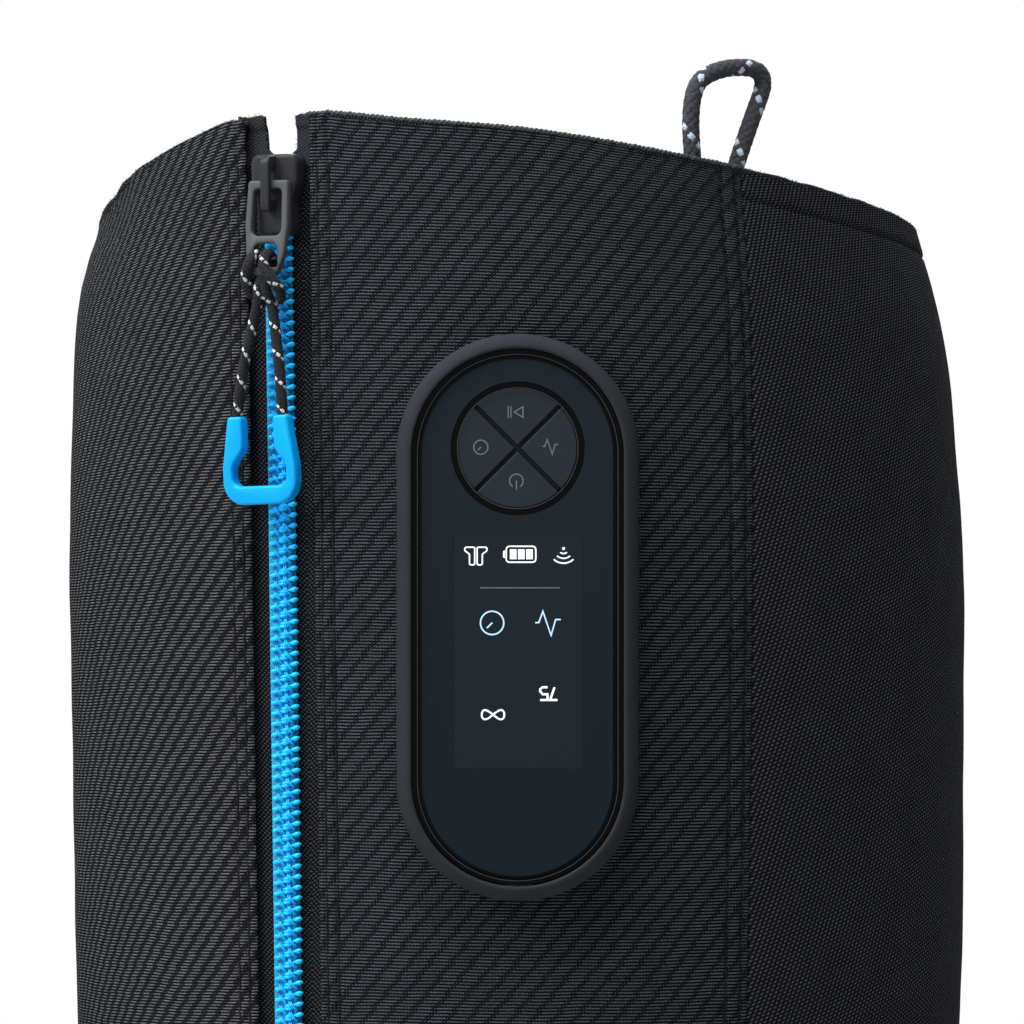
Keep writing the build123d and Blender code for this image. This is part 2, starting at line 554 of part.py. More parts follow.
# ---- Pump unit: inside ----------------------------------------------------------------
switch_places = [
    (SWITCH_AT_R * cos(radians(a)), DPAD_Y + SWITCH_AT_R * sin(radians(a)))
    for a in BUTTON_ANGLES.values()
]
membrane = disc(0, DPAD_Y, -2.2, -1.2, 20)
for x, y in switch_places:
    membrane += disc(x, y, -1.2, -0.7, 1.6)
save("button_membrane", POD * membrane)
save("dome_switches", POD * Compound([disc(x, y, BOARD_TOP, -2.3, 3) for x, y in switch_places]))
module = span_box(
    (-MODULE_W / 2, MODULE_W / 2),
    (DISPLAY_Y - MODULE_L / 2, DISPLAY_Y + MODULE_L / 2),
    (BOARD_TOP, MID_FRONT - 0.1),
)
save("display_module", POD * module)
save("main_board", POD * stadium(BOARD_W, BOARD_L, BOARD_BOTTOM, BOARD_TOP))

port = span_box(
    (-PORT_W / 2, PORT_W / 2),
    (PORT_OUTER_Y, PORT_OUTER_Y + PORT_L),
    (PORT_DEPTH - PORT_T / 2, PORT_DEPTH + PORT_T / 2),
)
port = fillet(port.edges().filter_by(Axis.Y), 1.2)
mouth = Pos(0, PORT_OUTER_Y, PORT_DEPTH) * Rot(90, 0, 0) * RectangleRounded(
    PORT_MOUTH_W, PORT_MOUTH_T, 1.2
)
port -= extrude(mouth, amount=PORT_L - 1, both=True)
port += span_box((-4, 4), (-71, -65), (BOARD_TOP, PORT_DEPTH - PORT_T / 2))
save("charge_port", POD * port)

battery = span_box(
    (-BATTERY_W / 2, BATTERY_W / 2),
    (BATTERY_Y - BATTERY_L / 2, BATTERY_Y + BATTERY_L / 2),
    (-24, -6),
)
save("battery_pack", POD * fillet(battery.edges().filter_by(Axis.Y), 3))
motor_middle = (MOTOR_YS[0] + MOTOR_YS[1]) / 2
motor = Pos(MOTOR_X, motor_middle, MOTOR_DEPTH) * Rot(90, 0, 0)
save("pump_motor", POD * (motor * Cylinder(MOTOR_R, MOTOR_YS[1] - MOTOR_YS[0])))
head = span_box((MOTOR_X - 11, MOTOR_X + 11), HEAD_YS, (MOTOR_DEPTH - 10, MOTOR_DEPTH + 10))
head += span_box((MOTOR_X - 2, MOTOR_X + 2), (MANIFOLD_YS[1], HEAD_YS[0]), (-17.4, -13.4))
save("pump_head", POD * head)
mounts = []
for y in (-22.0, -6.0):
    mount = span_box((MOTOR_X - 11.5, MOTOR_X + 11.5), (y - 2, y + 2), (CASE_BACK + CASE_WALL, -13))
    mounts.append(mount - motor * Cylinder(MOTOR_R, 80))
save("pump_mounts", POD * Compound(mounts))
save("valve_manifold", POD * span_box((-21, 23.5), MANIFOLD_YS, (-24, -6.8)))
valves = []
for x in (8.5, 18.2):
    for depth in (-24.0, -15.0):
        valves.append(span_box((x - 4.5, x + 4.5), (MANIFOLD_YS[1], -36), (depth, depth + 8.4)))
save("solenoid_valves", POD * Compound(valves))
sensor_x, sensor_y = 12.0, -62.5
sensor = span_box((sensor_x - 3.5, sensor_x + 3.5), (sensor_y - 2, sensor_y + 5), (-6.7, BOARD_BOTTOM))
save("pressure_sensor", POD * sensor)

# ---- Pump unit: back ------------------------------------------------------------------
case = stadium(BEZEL_W, BEZEL_L, CASE_BACK, BEZEL_BACK)
case = fillet(case.faces().sort_by(Axis.Z)[0].edges(), CASE_FILLET)
hollow = stadium(BEZEL_W - 2 * CASE_WALL, BEZEL_L - 2 * CASE_WALL, CASE_BACK + CASE_WALL, BEZEL_BACK + 5)
hollow = fillet(hollow.faces().sort_by(Axis.Z)[0].edges(), CASE_FILLET - CASE_WALL)
shell = case - hollow
screws = []
for x, y in lug_places:
    shell += disc(x, y, CASE_BACK, BEZEL_BACK, BOSS_R) & case
for x, y in lug_places:
    shell -= disc(x, y, CASE_BACK - 1, BEZEL_BACK + 1, SCREW_R + 0.2)
    shell -= disc(x, y, CASE_BACK - 1, CASE_BACK + 2.2, SCREW_HEAD_R + 0.3)
    screws.append(
        disc(x, y, CASE_BACK + 0.4, CASE_BACK + 2.2, SCREW_HEAD_R)
        + disc(x, y, CASE_BACK + 2.2, -0.9, SCREW_R)
    )
for name in TUBE_XS:
    shell -= air_tube(name, TUBE_D / 2 + 0.2)
save("rear_case", POD * shell)
save("case_screws", POD * Compound(screws))
for name in TUBE_XS:
    save(f"air_tube_{name}", POD * air_tube(name, TUBE_D / 2))
retainer_band = leg_cover_inside - leg_form(lambda wall: COVER_T + RETAINER_T)
retainer_reach = POD * stadium(
    BEZEL_W + 2 * RETAINER_RIM, BEZEL_L + 2 * RETAINER_RIM, -30, 30
)
save("retaining_ring", (retainer_band & retainer_reach) - pod_opening)
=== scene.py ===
"""Looks of a full-leg air compression boot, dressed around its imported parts.

Shapes are worked out in millimetres, in the frames of the leg, the zip and the pump unit,
and become metres when a mesh is made. Left and right are as seen from the front.
"""

import json
import logging
import math
from contextlib import contextmanager
from dataclasses import dataclass, field
from enum import Enum
from typing import Any, Callable, Iterator, Sequence

import bmesh
import bpy
import numpy as np
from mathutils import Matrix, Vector
from mathutils.bvhtree import BVHTree


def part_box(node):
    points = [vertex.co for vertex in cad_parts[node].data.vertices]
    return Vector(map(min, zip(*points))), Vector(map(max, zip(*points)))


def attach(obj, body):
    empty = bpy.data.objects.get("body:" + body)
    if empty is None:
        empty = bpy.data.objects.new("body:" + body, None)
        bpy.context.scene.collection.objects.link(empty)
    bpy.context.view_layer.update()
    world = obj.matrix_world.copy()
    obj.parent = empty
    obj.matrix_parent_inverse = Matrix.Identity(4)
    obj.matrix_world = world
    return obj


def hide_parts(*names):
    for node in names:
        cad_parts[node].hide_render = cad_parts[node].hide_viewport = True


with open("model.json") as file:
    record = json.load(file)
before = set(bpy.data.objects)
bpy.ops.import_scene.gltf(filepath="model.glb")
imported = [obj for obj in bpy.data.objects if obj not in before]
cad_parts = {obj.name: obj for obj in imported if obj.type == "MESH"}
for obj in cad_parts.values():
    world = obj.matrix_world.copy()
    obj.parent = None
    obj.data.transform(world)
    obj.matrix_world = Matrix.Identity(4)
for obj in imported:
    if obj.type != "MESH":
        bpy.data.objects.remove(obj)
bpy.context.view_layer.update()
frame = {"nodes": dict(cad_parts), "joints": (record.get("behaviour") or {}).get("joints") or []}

LOG = logging.getLogger("boot")
MM = 0.001
TURN = 2 * math.pi
MERGE = 2e-6  # corners nearer than this many metres become one
BOOT = "boot"
Colour = tuple[float, float, float]
Points = Sequence[Sequence[float]]
Line = tuple[np.ndarray, np.ndarray, np.ndarray]


class Side(Enum):
    """The two sides of the zip, as the sign of their x."""

    LEFT = -1
    RIGHT = 1

    @property
    def word(self) -> str:
        """The side as part of a piece's name."""
        return self.name.lower()


def srgb(red: float, green: float, blue: float) -> Colour:
    """Linear colour of a screen colour.

    Args:
        red, green, blue: screen values from 0 to 255.

    Returns:
        The linear colour, each channel from 0 to 1.
    """
    def linear(value: float) -> float:
        """One channel."""
        share = value / 255
        return share / 12.92 if share <= 0.04045 else ((share + 0.055) / 1.055) ** 2.4

    return linear(red), linear(green), linear(blue)


def ripple(u: np.ndarray, v: np.ndarray, wave: float, seed: int) -> np.ndarray:
    """Smooth uneven waves over a surface, the same on every run.

    Args:
        u, v: positions in millimetres.
        wave: the usual distance between crests.
        seed: picks one pattern out of many.

    Returns:
        Values from about -1 to 1.
    """
    total = np.zeros(np.broadcast(u, v).shape)
    for k in range(6):
        angle = 2.39996 * (k + 1) + 0.7 * seed
        stretch = TURN / (wave * (0.75 + 0.11 * k))
        phase = 1.7 * k * k + 3.1 * seed
        total = total + np.sin((u * math.cos(angle) + v * math.sin(angle)) * stretch + phase)
    return total / 3.0


def bump_at(distance: np.ndarray, centre: float, half: float) -> np.ndarray:
    """A smooth bell of height 1 round centre."""
    return np.exp(-(((distance - centre) / half) ** 2))


def unit(vectors: np.ndarray) -> np.ndarray:
    """The vectors at a length of 1."""
    return vectors / np.linalg.norm(vectors, axis=-1)[..., None]


def line_on(points: np.ndarray, out: np.ndarray) -> Line:
    """A line for copies: its points, unit vectors along it, and vectors out of it."""
    return points, unit(np.gradient(points, axis=0)), out


def leg_out(angle: np.ndarray, rise: float = 0.0) -> np.ndarray:
    """Vectors out of the leg at angles from the zip, tipped up by rise."""
    return np.stack([np.sin(angle), -np.cos(angle), rise + 0 * angle], axis=1)


def round_ended(width: float, length: float, sides: int, inset: float = 0.0) -> np.ndarray:
    """Half-round ends joined by straight sides, anticlockwise, the whole moved in by inset."""
    turn = np.linspace(0, math.pi, sides)
    radius = width / 2 - inset
    upper = np.stack([np.cos(turn) * radius, np.sin(turn) * radius + (length - width) / 2], axis=1)
    return np.vstack([upper, -upper])


# ---- Meshes ---------------------------------------------------------------------------
class MeshPile:
    """Collects patches, in millimetres, and makes one mesh of them."""

    def __init__(self) -> None:
        """Starts empty."""
        self.points: list[np.ndarray] = []
        self.count = 0
        self.faces: list[tuple[int, ...]] = []
        self.uvs: list[list[tuple[float, float]]] = []
        self.finishes: list[int] = []

    def add(self, points: np.ndarray, faces: list, uvs: list, finish: int = 0) -> None:
        """Adds loose geometry.

        Args:
            points: corners, one row each.
            faces: corner numbers of each face, from 0.
            uvs: for each face, a pair in millimetres for each of its corners.
            finish: number of the face material.
        """
        self.points.append(np.asarray(points, float).reshape(-1, 3))
        self.faces += [tuple(self.count + i for i in face) for face in faces]
        self.uvs += uvs
        self.finishes += [finish] * len(faces)
        self.count += len(self.points[-1])

    def grid(self, points: np.ndarray, uv: np.ndarray | None = None, wrap: bool = False,
             finish: int = 0) -> None:
        """Adds a grid of four-sided faces that look out where rows x columns turn that way.

        Args:
            points: shape rows, columns, 3.
            uv: shape rows, columns (one more if it wraps), 2, in millimetres.
            wrap: whether the last column joins the first.
            finish: number of the face material.
        """
        rows, columns = points.shape[:2]
        if uv is None:
            uv = grid_uv(points, wrap)
        faces, uvs = [], []
        for i in range(rows - 1):
            for j in range(columns if wrap else columns - 1):
                k = (j + 1) % columns
                faces.append((i * columns + j, i * columns + k,
                              (i + 1) * columns + k, (i + 1) * columns + j))
                uvs.append([tuple(uv[i, j]), tuple(uv[i, j + 1]),
                            tuple(uv[i + 1, j + 1]), tuple(uv[i + 1, j])])
        self.add(points.reshape(-1, 3), faces, uvs, finish)

    def cap(self, ring: np.ndarray, centre: np.ndarray, flip: bool = False,
            finish: int = 0) -> None:
        """Closes a ring with a fan of triangles to centre."""
        count = len(ring)
        faces, uvs = [], []
        for j in range(count):
            k = (j + 1) % count
            face = (k, j, count) if flip else (j, k, count)
            faces.append(face)
            uvs.append([(float(ring[min(i, count - 1)][0]), float(ring[min(i, count - 1)][2]))
                        for i in face])
        self.add(np.vstack([ring, [centre]]), faces, uvs, finish)

    def skin(self, rings: np.ndarray, ends: Points | None = None, finish: int = 0) -> None:
        """Adds rings joined into a closed skin, with a fan over either end.

        Args:
            rings: shape rings, points, 3.
            ends: the middles of the two fans, or None for those of the end rings.
            finish: number of the face material.
        """
        first, last = (rings[0].mean(axis=0), rings[-1].mean(axis=0)) if ends is None else ends
        self.grid(rings, wrap=True, finish=finish)
        self.cap(rings[0], first, flip=True, finish=finish)
        self.cap(rings[-1], last, finish=finish)

    def tube(self, path: np.ndarray, radii: np.ndarray | float, sides: int = 8) -> None:
        """Adds a round rod with domed ends along path."""
        dome_reach, dome_width, tip_reach = 0.45, 0.72, 0.7
        path = np.asarray(path, float)
        radii = np.broadcast_to(np.asarray(radii, float), len(path))
        along, normal, across = carried_frames(path)
        turn = TURN * np.arange(sides) / sides
        around = (np.cos(turn)[None, :, None] * normal[:, None]
                  + np.sin(turn)[None, :, None] * across[:, None])
        rings, domes, tips = path[:, None] + radii[:, None, None] * around, [], []
        for end, way in ((0, -1), (-1, 1)):
            stretch = way * along[end] * radii[end]
            domes.append(path[end] + stretch * dome_reach + dome_width * radii[end] * around[end])
            tips.append(path[end] + stretch * tip_reach)
        self.skin(np.concatenate([domes[:1], rings, domes[1:]]), tips)

    def mesh(self, name: str) -> bpy.types.Mesh:
        """The collected patches as one smooth mesh in metres, with close corners merged."""
        made = bpy.data.meshes.new(name)
        made.from_pydata((np.vstack(self.points) * MM).tolist(), [], self.faces)
        layer = made.uv_layers.new(name="Cloth")
        flat = np.array([pair for face in self.uvs for pair in face], np.float32) * MM
        layer.data.foreach_set("uv", flat.ravel())
        made.polygons.foreach_set("material_index", self.finishes)
        with opened(made) as work:
            bmesh.ops.remove_doubles(work, verts=work.verts, dist=MERGE)
        made.shade_smooth()
        made.update()
        return made


@contextmanager
def opened(mesh: bpy.types.Mesh) -> Iterator[bmesh.types.BMesh]:
    """Opens a mesh for editing, and writes the result back."""
    work = bmesh.new()
    work.from_mesh(mesh)
    yield work
    work.to_mesh(mesh)
    work.free()


def grid_uv(points: np.ndarray, wrap: bool) -> np.ndarray:
    """Distances along and across a grid, in millimetres.

    Args:
        points: shape rows, columns, 3.
        wrap: whether the last column joins the first.

    Returns:
        Shape rows, columns (one more if it wraps), 2.
    """
    ring = np.concatenate([points, points[:, :1]], axis=1) if wrap else points
    across = np.linalg.norm(np.diff(ring, axis=1), axis=2)
    u = np.concatenate([np.zeros((len(ring), 1)), np.cumsum(across, axis=1)], axis=1)
    along = np.linalg.norm(np.diff(ring, axis=0), axis=2)
    v = np.concatenate([np.zeros((1, ring.shape[1])), np.cumsum(along, axis=0)], axis=0)
    return np.stack([u, v], axis=2)


def carried_frames(path: np.ndarray) -> tuple[np.ndarray, np.ndarray, np.ndarray]:
    """Frames that don't twist along a path.

    Args:
        path: points, one row each.

    Returns:
        Unit vectors along the path, and two across it, for each point.
    """
    along = unit(np.gradient(path, axis=0))
    helper = np.array([0.0, 0.0, 1.0]) if abs(along[0][2]) < 0.8 else np.array([1.0, 0.0, 0.0])
    normals = [unit(np.cross(along[0], helper))]
    for direction in along[1:]:
        normals.append(unit(normals[-1] - direction * (normals[-1] @ direction)))
    normal = np.array(normals)
    return along, normal, np.cross(along, normal)


def even_path(path: np.ndarray, step: float) -> np.ndarray:
    """A path's points spaced evenly, about step apart."""
    lengths = np.linalg.norm(np.diff(path, axis=0), axis=1)
    at = np.concatenate([[0], np.cumsum(lengths)])
    count = max(3, int(round(at[-1] / step)) + 1)
    wanted = np.linspace(0, at[-1], count)
    return np.stack([np.interp(wanted, at, path[:, k]) for k in range(3)], axis=1)


def evaluated(obj: bpy.types.Object) -> bpy.types.Mesh:
    """A new mesh of a curve, or of an object with its modifiers."""
    graph = bpy.context.evaluated_depsgraph_get()
    return bpy.data.meshes.new_from_object(obj.evaluated_get(graph), depsgraph=graph)


def plain(obj: bpy.types.Object) -> None:
    """Turns an object's modifiers into its mesh."""
    made = evaluated(obj)
    obj.modifiers.clear()
    obj.data = made


def thickened(obj: bpy.types.Object, thickness: float) -> None:
    """Gives a surface its thickness in millimetres, inwards."""
    solid = obj.modifiers.new("thickness", "SOLIDIFY")
    solid.thickness = thickness * MM
    solid.offset = -1.0


def carved(obj: bpy.types.Object, cutter: bpy.types.Object) -> None:
    """Cuts a closed shape, which is removed, out of an object."""
    cut = obj.modifiers.new("opening", "BOOLEAN")
    cut.operation = "DIFFERENCE"
    cut.solver = "EXACT"
    cut.object = cutter
    plain(obj)
    bpy.data.objects.remove(cutter)


def creased(mesh: bpy.types.Mesh, degrees: float) -> None:
    """Shades a mesh smooth, apart from edges sharper than an angle."""
    mesh.shade_smooth()
    mesh.set_sharp_from_angle(angle=math.radians(degrees))


def new_object(name: str, mesh: bpy.types.Mesh | bpy.types.Curve) -> bpy.types.Object:
    """Links a new object to the scene."""
    obj = bpy.data.objects.new(name, mesh)
    bpy.context.scene.collection.objects.link(obj)
    return obj


def paint(obj: bpy.types.Object, *finishes: bpy.types.Material) -> None:
    """Sets an object's materials, keeping the faces' own numbers."""
    numbers = [face.material_index for face in obj.data.polygons]
    obj.data.materials.clear()
    for finish in finishes:
        obj.data.materials.append(finish)
    obj.data.polygons.foreach_set("material_index", [min(n, len(finishes) - 1) for n in numbers])


def settle(obj: bpy.types.Object, body: str, slot: str, *replaced: str) -> bpy.types.Object:
    """Parents a finished piece to its body and hides the nodes that it replaces.

    Args:
        obj: the piece, in place.
        body: the body that it moves with.
        slot: not used.
        replaced: the nodes that it stands for.

    Returns:
        The same piece.
    """
    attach(obj, body)
    if replaced:
        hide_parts(*replaced)
    size = len(obj.data.polygons) if obj.type == "MESH" else 0
    LOG.info("%s rides on %s, %d faces", obj.name, body, size)
    return obj


def piece(name: str, pile: MeshPile, finishes: Sequence[bpy.types.Material], slot: str,
          *replaced: str, body: str = BOOT, turned: bool = False) -> bpy.types.Object:
    """Makes a pile of patches a painted piece, and parents it to its body.

    Args:
        name: name of the piece.
        pile: its shape.
        finishes: its materials.
        slot: the record's material slot, passed on to settle.
        replaced: the nodes that it stands for.
        body: the body that it moves with.
        turned: whether its faces still have to be turned outwards.

    Returns:
        The new object.
    """
    mesh = pile.mesh(name)
    obj = new_object(name, outward(mesh) if turned else mesh)
    paint(obj, *finishes)
    return settle(obj, body, slot, *replaced)


def softened(node_name: str, name: str, width: float) -> bpy.types.Object:
    """A copy of a rigid node, with its edges rounded over by width millimetres."""
    mesh = frame["nodes"][node_name].data.copy()
    mesh.name = name
    with opened(mesh) as work:
        bmesh.ops.remove_doubles(work, verts=work.verts, dist=1e-6)
        bmesh.ops.dissolve_limit(work, angle_limit=math.radians(1.0), verts=work.verts,
                                 edges=work.edges)
    obj = new_object(name, mesh)
    bevel = obj.modifiers.new("round", "BEVEL")
    bevel.width = width * MM
    bevel.segments = 2
    bevel.limit_method = "ANGLE"
    bevel.angle_limit = math.radians(40)
    bevel.use_clamp_overlap = True
    plain(obj)
    creased(obj.data, 38)
    return obj


def outward(mesh: bpy.types.Mesh, merge: float = 0.0) -> bpy.types.Mesh:
    """Turns a closed mesh's faces outwards, merging corners nearer than merge metres."""
    with opened(mesh) as work:
        if merge:
            bmesh.ops.remove_doubles(work, verts=work.verts, dist=merge)
        bmesh.ops.recalc_face_normals(work, faces=work.faces)
    return mesh


def rounded(corners: Sequence[tuple[float, float, float]], steps: int = 7) -> np.ndarray:
    """A closed outline with rounded corners.

    Args:
        corners: x, y and radius of each corner.
        steps: points round each corner.

    Returns:
        The outline's points, one row each.
    """
    found = []
    for i, (x, y, radius) in enumerate(corners):
        here = np.array([x, y])
        if radius <= 0:
            found.append(here)
            continue
        before, after = (unit(np.array(corners[k][:2]) - here)
                         for k in (i - 1, (i + 1) % len(corners)))
        half = math.acos(float(np.clip(before @ after, -1, 1))) / 2
        cut = radius / math.tan(half)
        for t in np.linspace(0, 1, steps):
            found.append((1 - t) ** 2 * (here + before * cut) + 2 * t * (1 - t) * here
                         + t**2 * (here + after * cut))
    return np.array(found)


def plate_piece(name: str, place: "LocalFrame", outlines: Sequence[np.ndarray], low: float,
                high: float, edge: float) -> bpy.types.Object:
    """A flat plate with holes and rounded edges.

    Args:
        name: name of the new object.
        place: the frame that the outlines lie in.
        outlines: the closed outline, then those of its holes.
        low, high: the plate's two faces along the frame's z.
        edge: radius of its edges.

    Returns:
        The new object.
    """
    curve = bpy.data.curves.new(name, "CURVE")
    curve.dimensions = "2D"
    curve.fill_mode = "BOTH"
    curve.extrude = ((high - low) / 2 - edge) * MM
    curve.bevel_depth = edge * MM
    curve.bevel_resolution = 2
    curve.offset = -edge * MM
    for outline in outlines:
        spline = curve.splines.new("POLY")
        spline.points.add(len(outline) - 1)
        for point, (x, y) in zip(spline.points, outline):
            point.co = (x * MM, y * MM, 0.0, 1.0)
        spline.use_cyclic_u = True
    drawn = new_object(name, curve)
    mesh = evaluated(drawn)
    bpy.data.objects.remove(drawn)
    local = np.array([v.co for v in mesh.vertices]) / MM + np.array([0, 0, (low + high) / 2])
    mesh.vertices.foreach_set("co", (place.world(local) * MM).ravel())
    return new_object(name, outward(mesh, MERGE))


def joined(name: str, pieces: Sequence[bpy.types.Object]) -> bpy.types.Object:
    """One object made of several, which are removed."""
    work = bmesh.new()
    for part in pieces:
        work.from_mesh(part.data)
        bpy.data.objects.remove(part)
    mesh = bpy.data.meshes.new(name)
    work.to_mesh(mesh)
    work.free()
    obj = new_object(name, mesh)
    creased(mesh, 42)
    return obj


# ---- Nodes and repeats ----------------------------------------------------------------
def node(tree: bpy.types.NodeTree, kind: str, inputs: dict[str | int, Any] | None = None,
         **settings: Any) -> bpy.types.Node:
    """Adds a node to a tree.

    Args:
        tree: the tree.
        kind: type of the node.
        inputs: by the socket's name or number, its value or the socket that feeds it.
        settings: the node's own properties.

    Returns:
        The new node.
    """
    made = tree.nodes.new(kind)
    for label, value in settings.items():
        setattr(made, label, value)
    for label, value in (inputs or {}).items():
        value = getattr(value, "socket", value)
        if isinstance(value, bpy.types.NodeSocket):
            tree.links.new(value, made.inputs[label])
        else:
            made.inputs[label].default_value = value
    return made


def repeat_tree(name: str, spaced: bool) -> bpy.types.NodeTree:
    """Builds the tree that sets copies of a shape along a line or on points.

    Each point carries the vectors "along" and "out", which become the copy's x and z.

    Args:
        name: name of the tree.
        spaced: whether the points are a line to space copies along.

    Returns:
        The node tree.
    """
    tree = bpy.data.node_groups.new(name, "GeometryNodeTree")
    for label, kind in (("Geometry", "Geometry"), ("Shape", "Object"), ("Spacing", "Float"),
                        ("Size spread", "Float"), ("Seed", "Int"), ("Finish", "Material")):
        tree.interface.new_socket(label, in_out="INPUT", socket_type=f"NodeSocket{kind}")
    tree.interface.new_socket("Geometry", in_out="OUTPUT", socket_type="NodeSocketGeometry")
    given = node(tree, "NodeGroupInput").outputs
    source = given["Geometry"]
    if spaced:
        line = node(tree, "GeometryNodeMeshToCurve", {"Mesh": source})
        even = node(tree, "GeometryNodeResampleCurve", {
            "Curve": line.outputs["Curve"], "Length": given["Spacing"]}, mode="LENGTH")
        source = even.outputs["Curve"]
    shape = node(tree, "GeometryNodeObjectInfo", {"Object": given["Shape"]})
    feeds = {}
    for label, axis, pivot in (("out", "Z", "AUTO"), ("along", "X", "Z")):
        vector = node(tree, "GeometryNodeInputNamedAttribute", {"Name": label},
                      data_type="FLOAT_VECTOR")
        feeds["Vector"] = vector.outputs["Attribute"]
        align = node(tree, "FunctionNodeAlignRotationToVector", feeds, axis=axis,
                     pivot_axis=pivot)
        feeds["Rotation"] = align.outputs["Rotation"]
    sizes = node(tree, "FunctionNodeRandomValue", {"Seed": given["Seed"]}, data_type="FLOAT")
    limits = {socket.name: socket for socket in sizes.inputs if socket.type == "VALUE"}
    for label, operation in (("Min", "SUBTRACT"), ("Max", "ADD")):
        limit = node(tree, "ShaderNodeMath", {0: 1.0, 1: given["Size spread"]},
                     operation=operation)
        tree.links.new(limit.outputs[0], limits[label])
    scale = next(socket for socket in sizes.outputs if socket.type == "VALUE")
    copies = node(tree, "GeometryNodeInstanceOnPoints", {
        "Points": source, "Instance": shape.outputs["Geometry"],
        "Rotation": feeds["Rotation"], "Scale": scale})
    real = node(tree, "GeometryNodeRealizeInstances", {"Geometry": copies.outputs["Instances"]})
    finish = node(tree, "GeometryNodeSetMaterial", {
        "Geometry": real.outputs["Geometry"], "Material": given["Finish"]})
    node(tree, "NodeGroupOutput", {"Geometry": finish.outputs["Geometry"]})
    return tree


class Repeater:
    """Sets copies of small shapes along lines or on points."""

    def __init__(self) -> None:
        """Builds both trees."""
        self.along_line = repeat_tree("copies_along_a_line", spaced=True)
        self.on_points = repeat_tree("copies_on_points", spaced=False)

    def place(self, name: str, lines: Sequence[Line], shape: bpy.types.Mesh,
              finish: bpy.types.Material, spacing: float | None = None,
              spread: float = 0.05, seed: int = 1) -> bpy.types.Object:
        """Makes one plain mesh of all the copies.

        Args:
            name: name of the new piece.
            lines: for each line its points, along vectors and out vectors, in millimetres.
            shape: the shape to copy, in metres about its own origin.
            finish: material of the copies.
            spacing: distance between copies, or None for one on each point.
            spread: share by which sizes differ.
            seed: fixes the sizes.

        Returns:
            The new object.
        """
        points, along, out = (np.vstack(parts) for parts in zip(*lines))
        edges, first = [], 0
        for line in lines:
            if spacing is not None:
                edges += [(first + i, first + i + 1) for i in range(len(line[0]) - 1)]
            first += len(line[0])
        mesh = bpy.data.meshes.new(name)
        mesh.from_pydata((points * MM).tolist(), edges, [])
        for label, values in (("along", along), ("out", out)):
            layer = mesh.attributes.new(label, "FLOAT_VECTOR", "POINT")
            layer.data.foreach_set("vector", values.astype(np.float32).ravel())
        obj = new_object(name, mesh)
        pattern = new_object(f"{name}_shape", shape)
        modifier = obj.modifiers.new("copies", "NODES")
        modifier.node_group = self.on_points if spacing is None else self.along_line
        values = {"Shape": pattern, "Spacing": (spacing or 1.0) * MM, "Size spread": spread,
                  "Seed": seed, "Finish": finish}
        for item in modifier.node_group.interface.items_tree:
            if item.name in values:
                modifier[item.identifier] = values[item.name]
        plain(obj)
        bpy.data.objects.remove(pattern)
        obj.data.shade_smooth()
        return obj


def capsule(start: Sequence[float], end: Sequence[float], radius: float,
            flat: float = 1.0) -> MeshPile:
    """A short round-ended rod, in millimetres, squeezed along z by flat."""
    pile = MeshPile()
    path = np.linspace(np.asarray(start, float), np.asarray(end, float), 4)
    swell = np.array([0.82, 1.0, 1.0, 0.82]) * radius
    pile.tube(path, swell, 6)
    pile.points = [p * np.array([1.0, 1.0, flat]) for p in pile.points]
    return pile


# ---- Material graphs ------------------------------------------------------------------
class Term:
    """A value inside a material's node tree, with ordinary arithmetic."""

    def __init__(self, graph: "Graph", socket: bpy.types.NodeSocket) -> None:
        """Wraps an output socket."""
        self.graph = graph
        self.socket = socket

    def __add__(self, other: "Term | float") -> "Term":
        """Sum."""
        return self.graph.math("ADD", self, other)

    __radd__ = __add__

    def __mul__(self, other: "Term | float") -> "Term":
        """Product."""
        return self.graph.math("MULTIPLY", self, other)

    __rmul__ = __mul__

    def __sub__(self, other: "Term | float") -> "Term":
        """Difference."""
        return self.graph.math("SUBTRACT", self, other)

    def __rsub__(self, other: float) -> "Term":
        """Difference from a number."""
        return self.graph.math("SUBTRACT", other, self)

    def floor(self) -> "Term":
        """The whole number at or below."""
        return self.graph.math("FLOOR", self)

    def fract(self) -> "Term":
        """The part after the point."""
        return self.graph.math("FRACT", self)

    def cosine(self) -> "Term":
        """Cosine of a number of turns."""
        return self.graph.math("COSINE", self * TURN)

    def power(self, exponent: float) -> "Term":
        """This to a power."""
        return self.graph.math("POWER", self, exponent)

    def arch(self, centre: float, half: float) -> "Term":
        """A round hump, 1 at centre and 0 from half away."""
        away = (self - centre) * (1 / half)
        return self.graph.math("SUBTRACT", 1.0, away * away, clamp=True)

    def ramp(self, low: float, high: float) -> "Term":
        """Smooth rise from 0 at low to 1 at high, or a fall where high is the lower one."""
        ends = {"From Min": min(low, high), "From Max": max(low, high)}
        if low > high:
            ends |= {"To Min": 1.0, "To Max": 0.0}
        return self.graph.term("Result", "ShaderNodeMapRange", {"Value": self, **ends},
                               interpolation_type="SMOOTHSTEP")


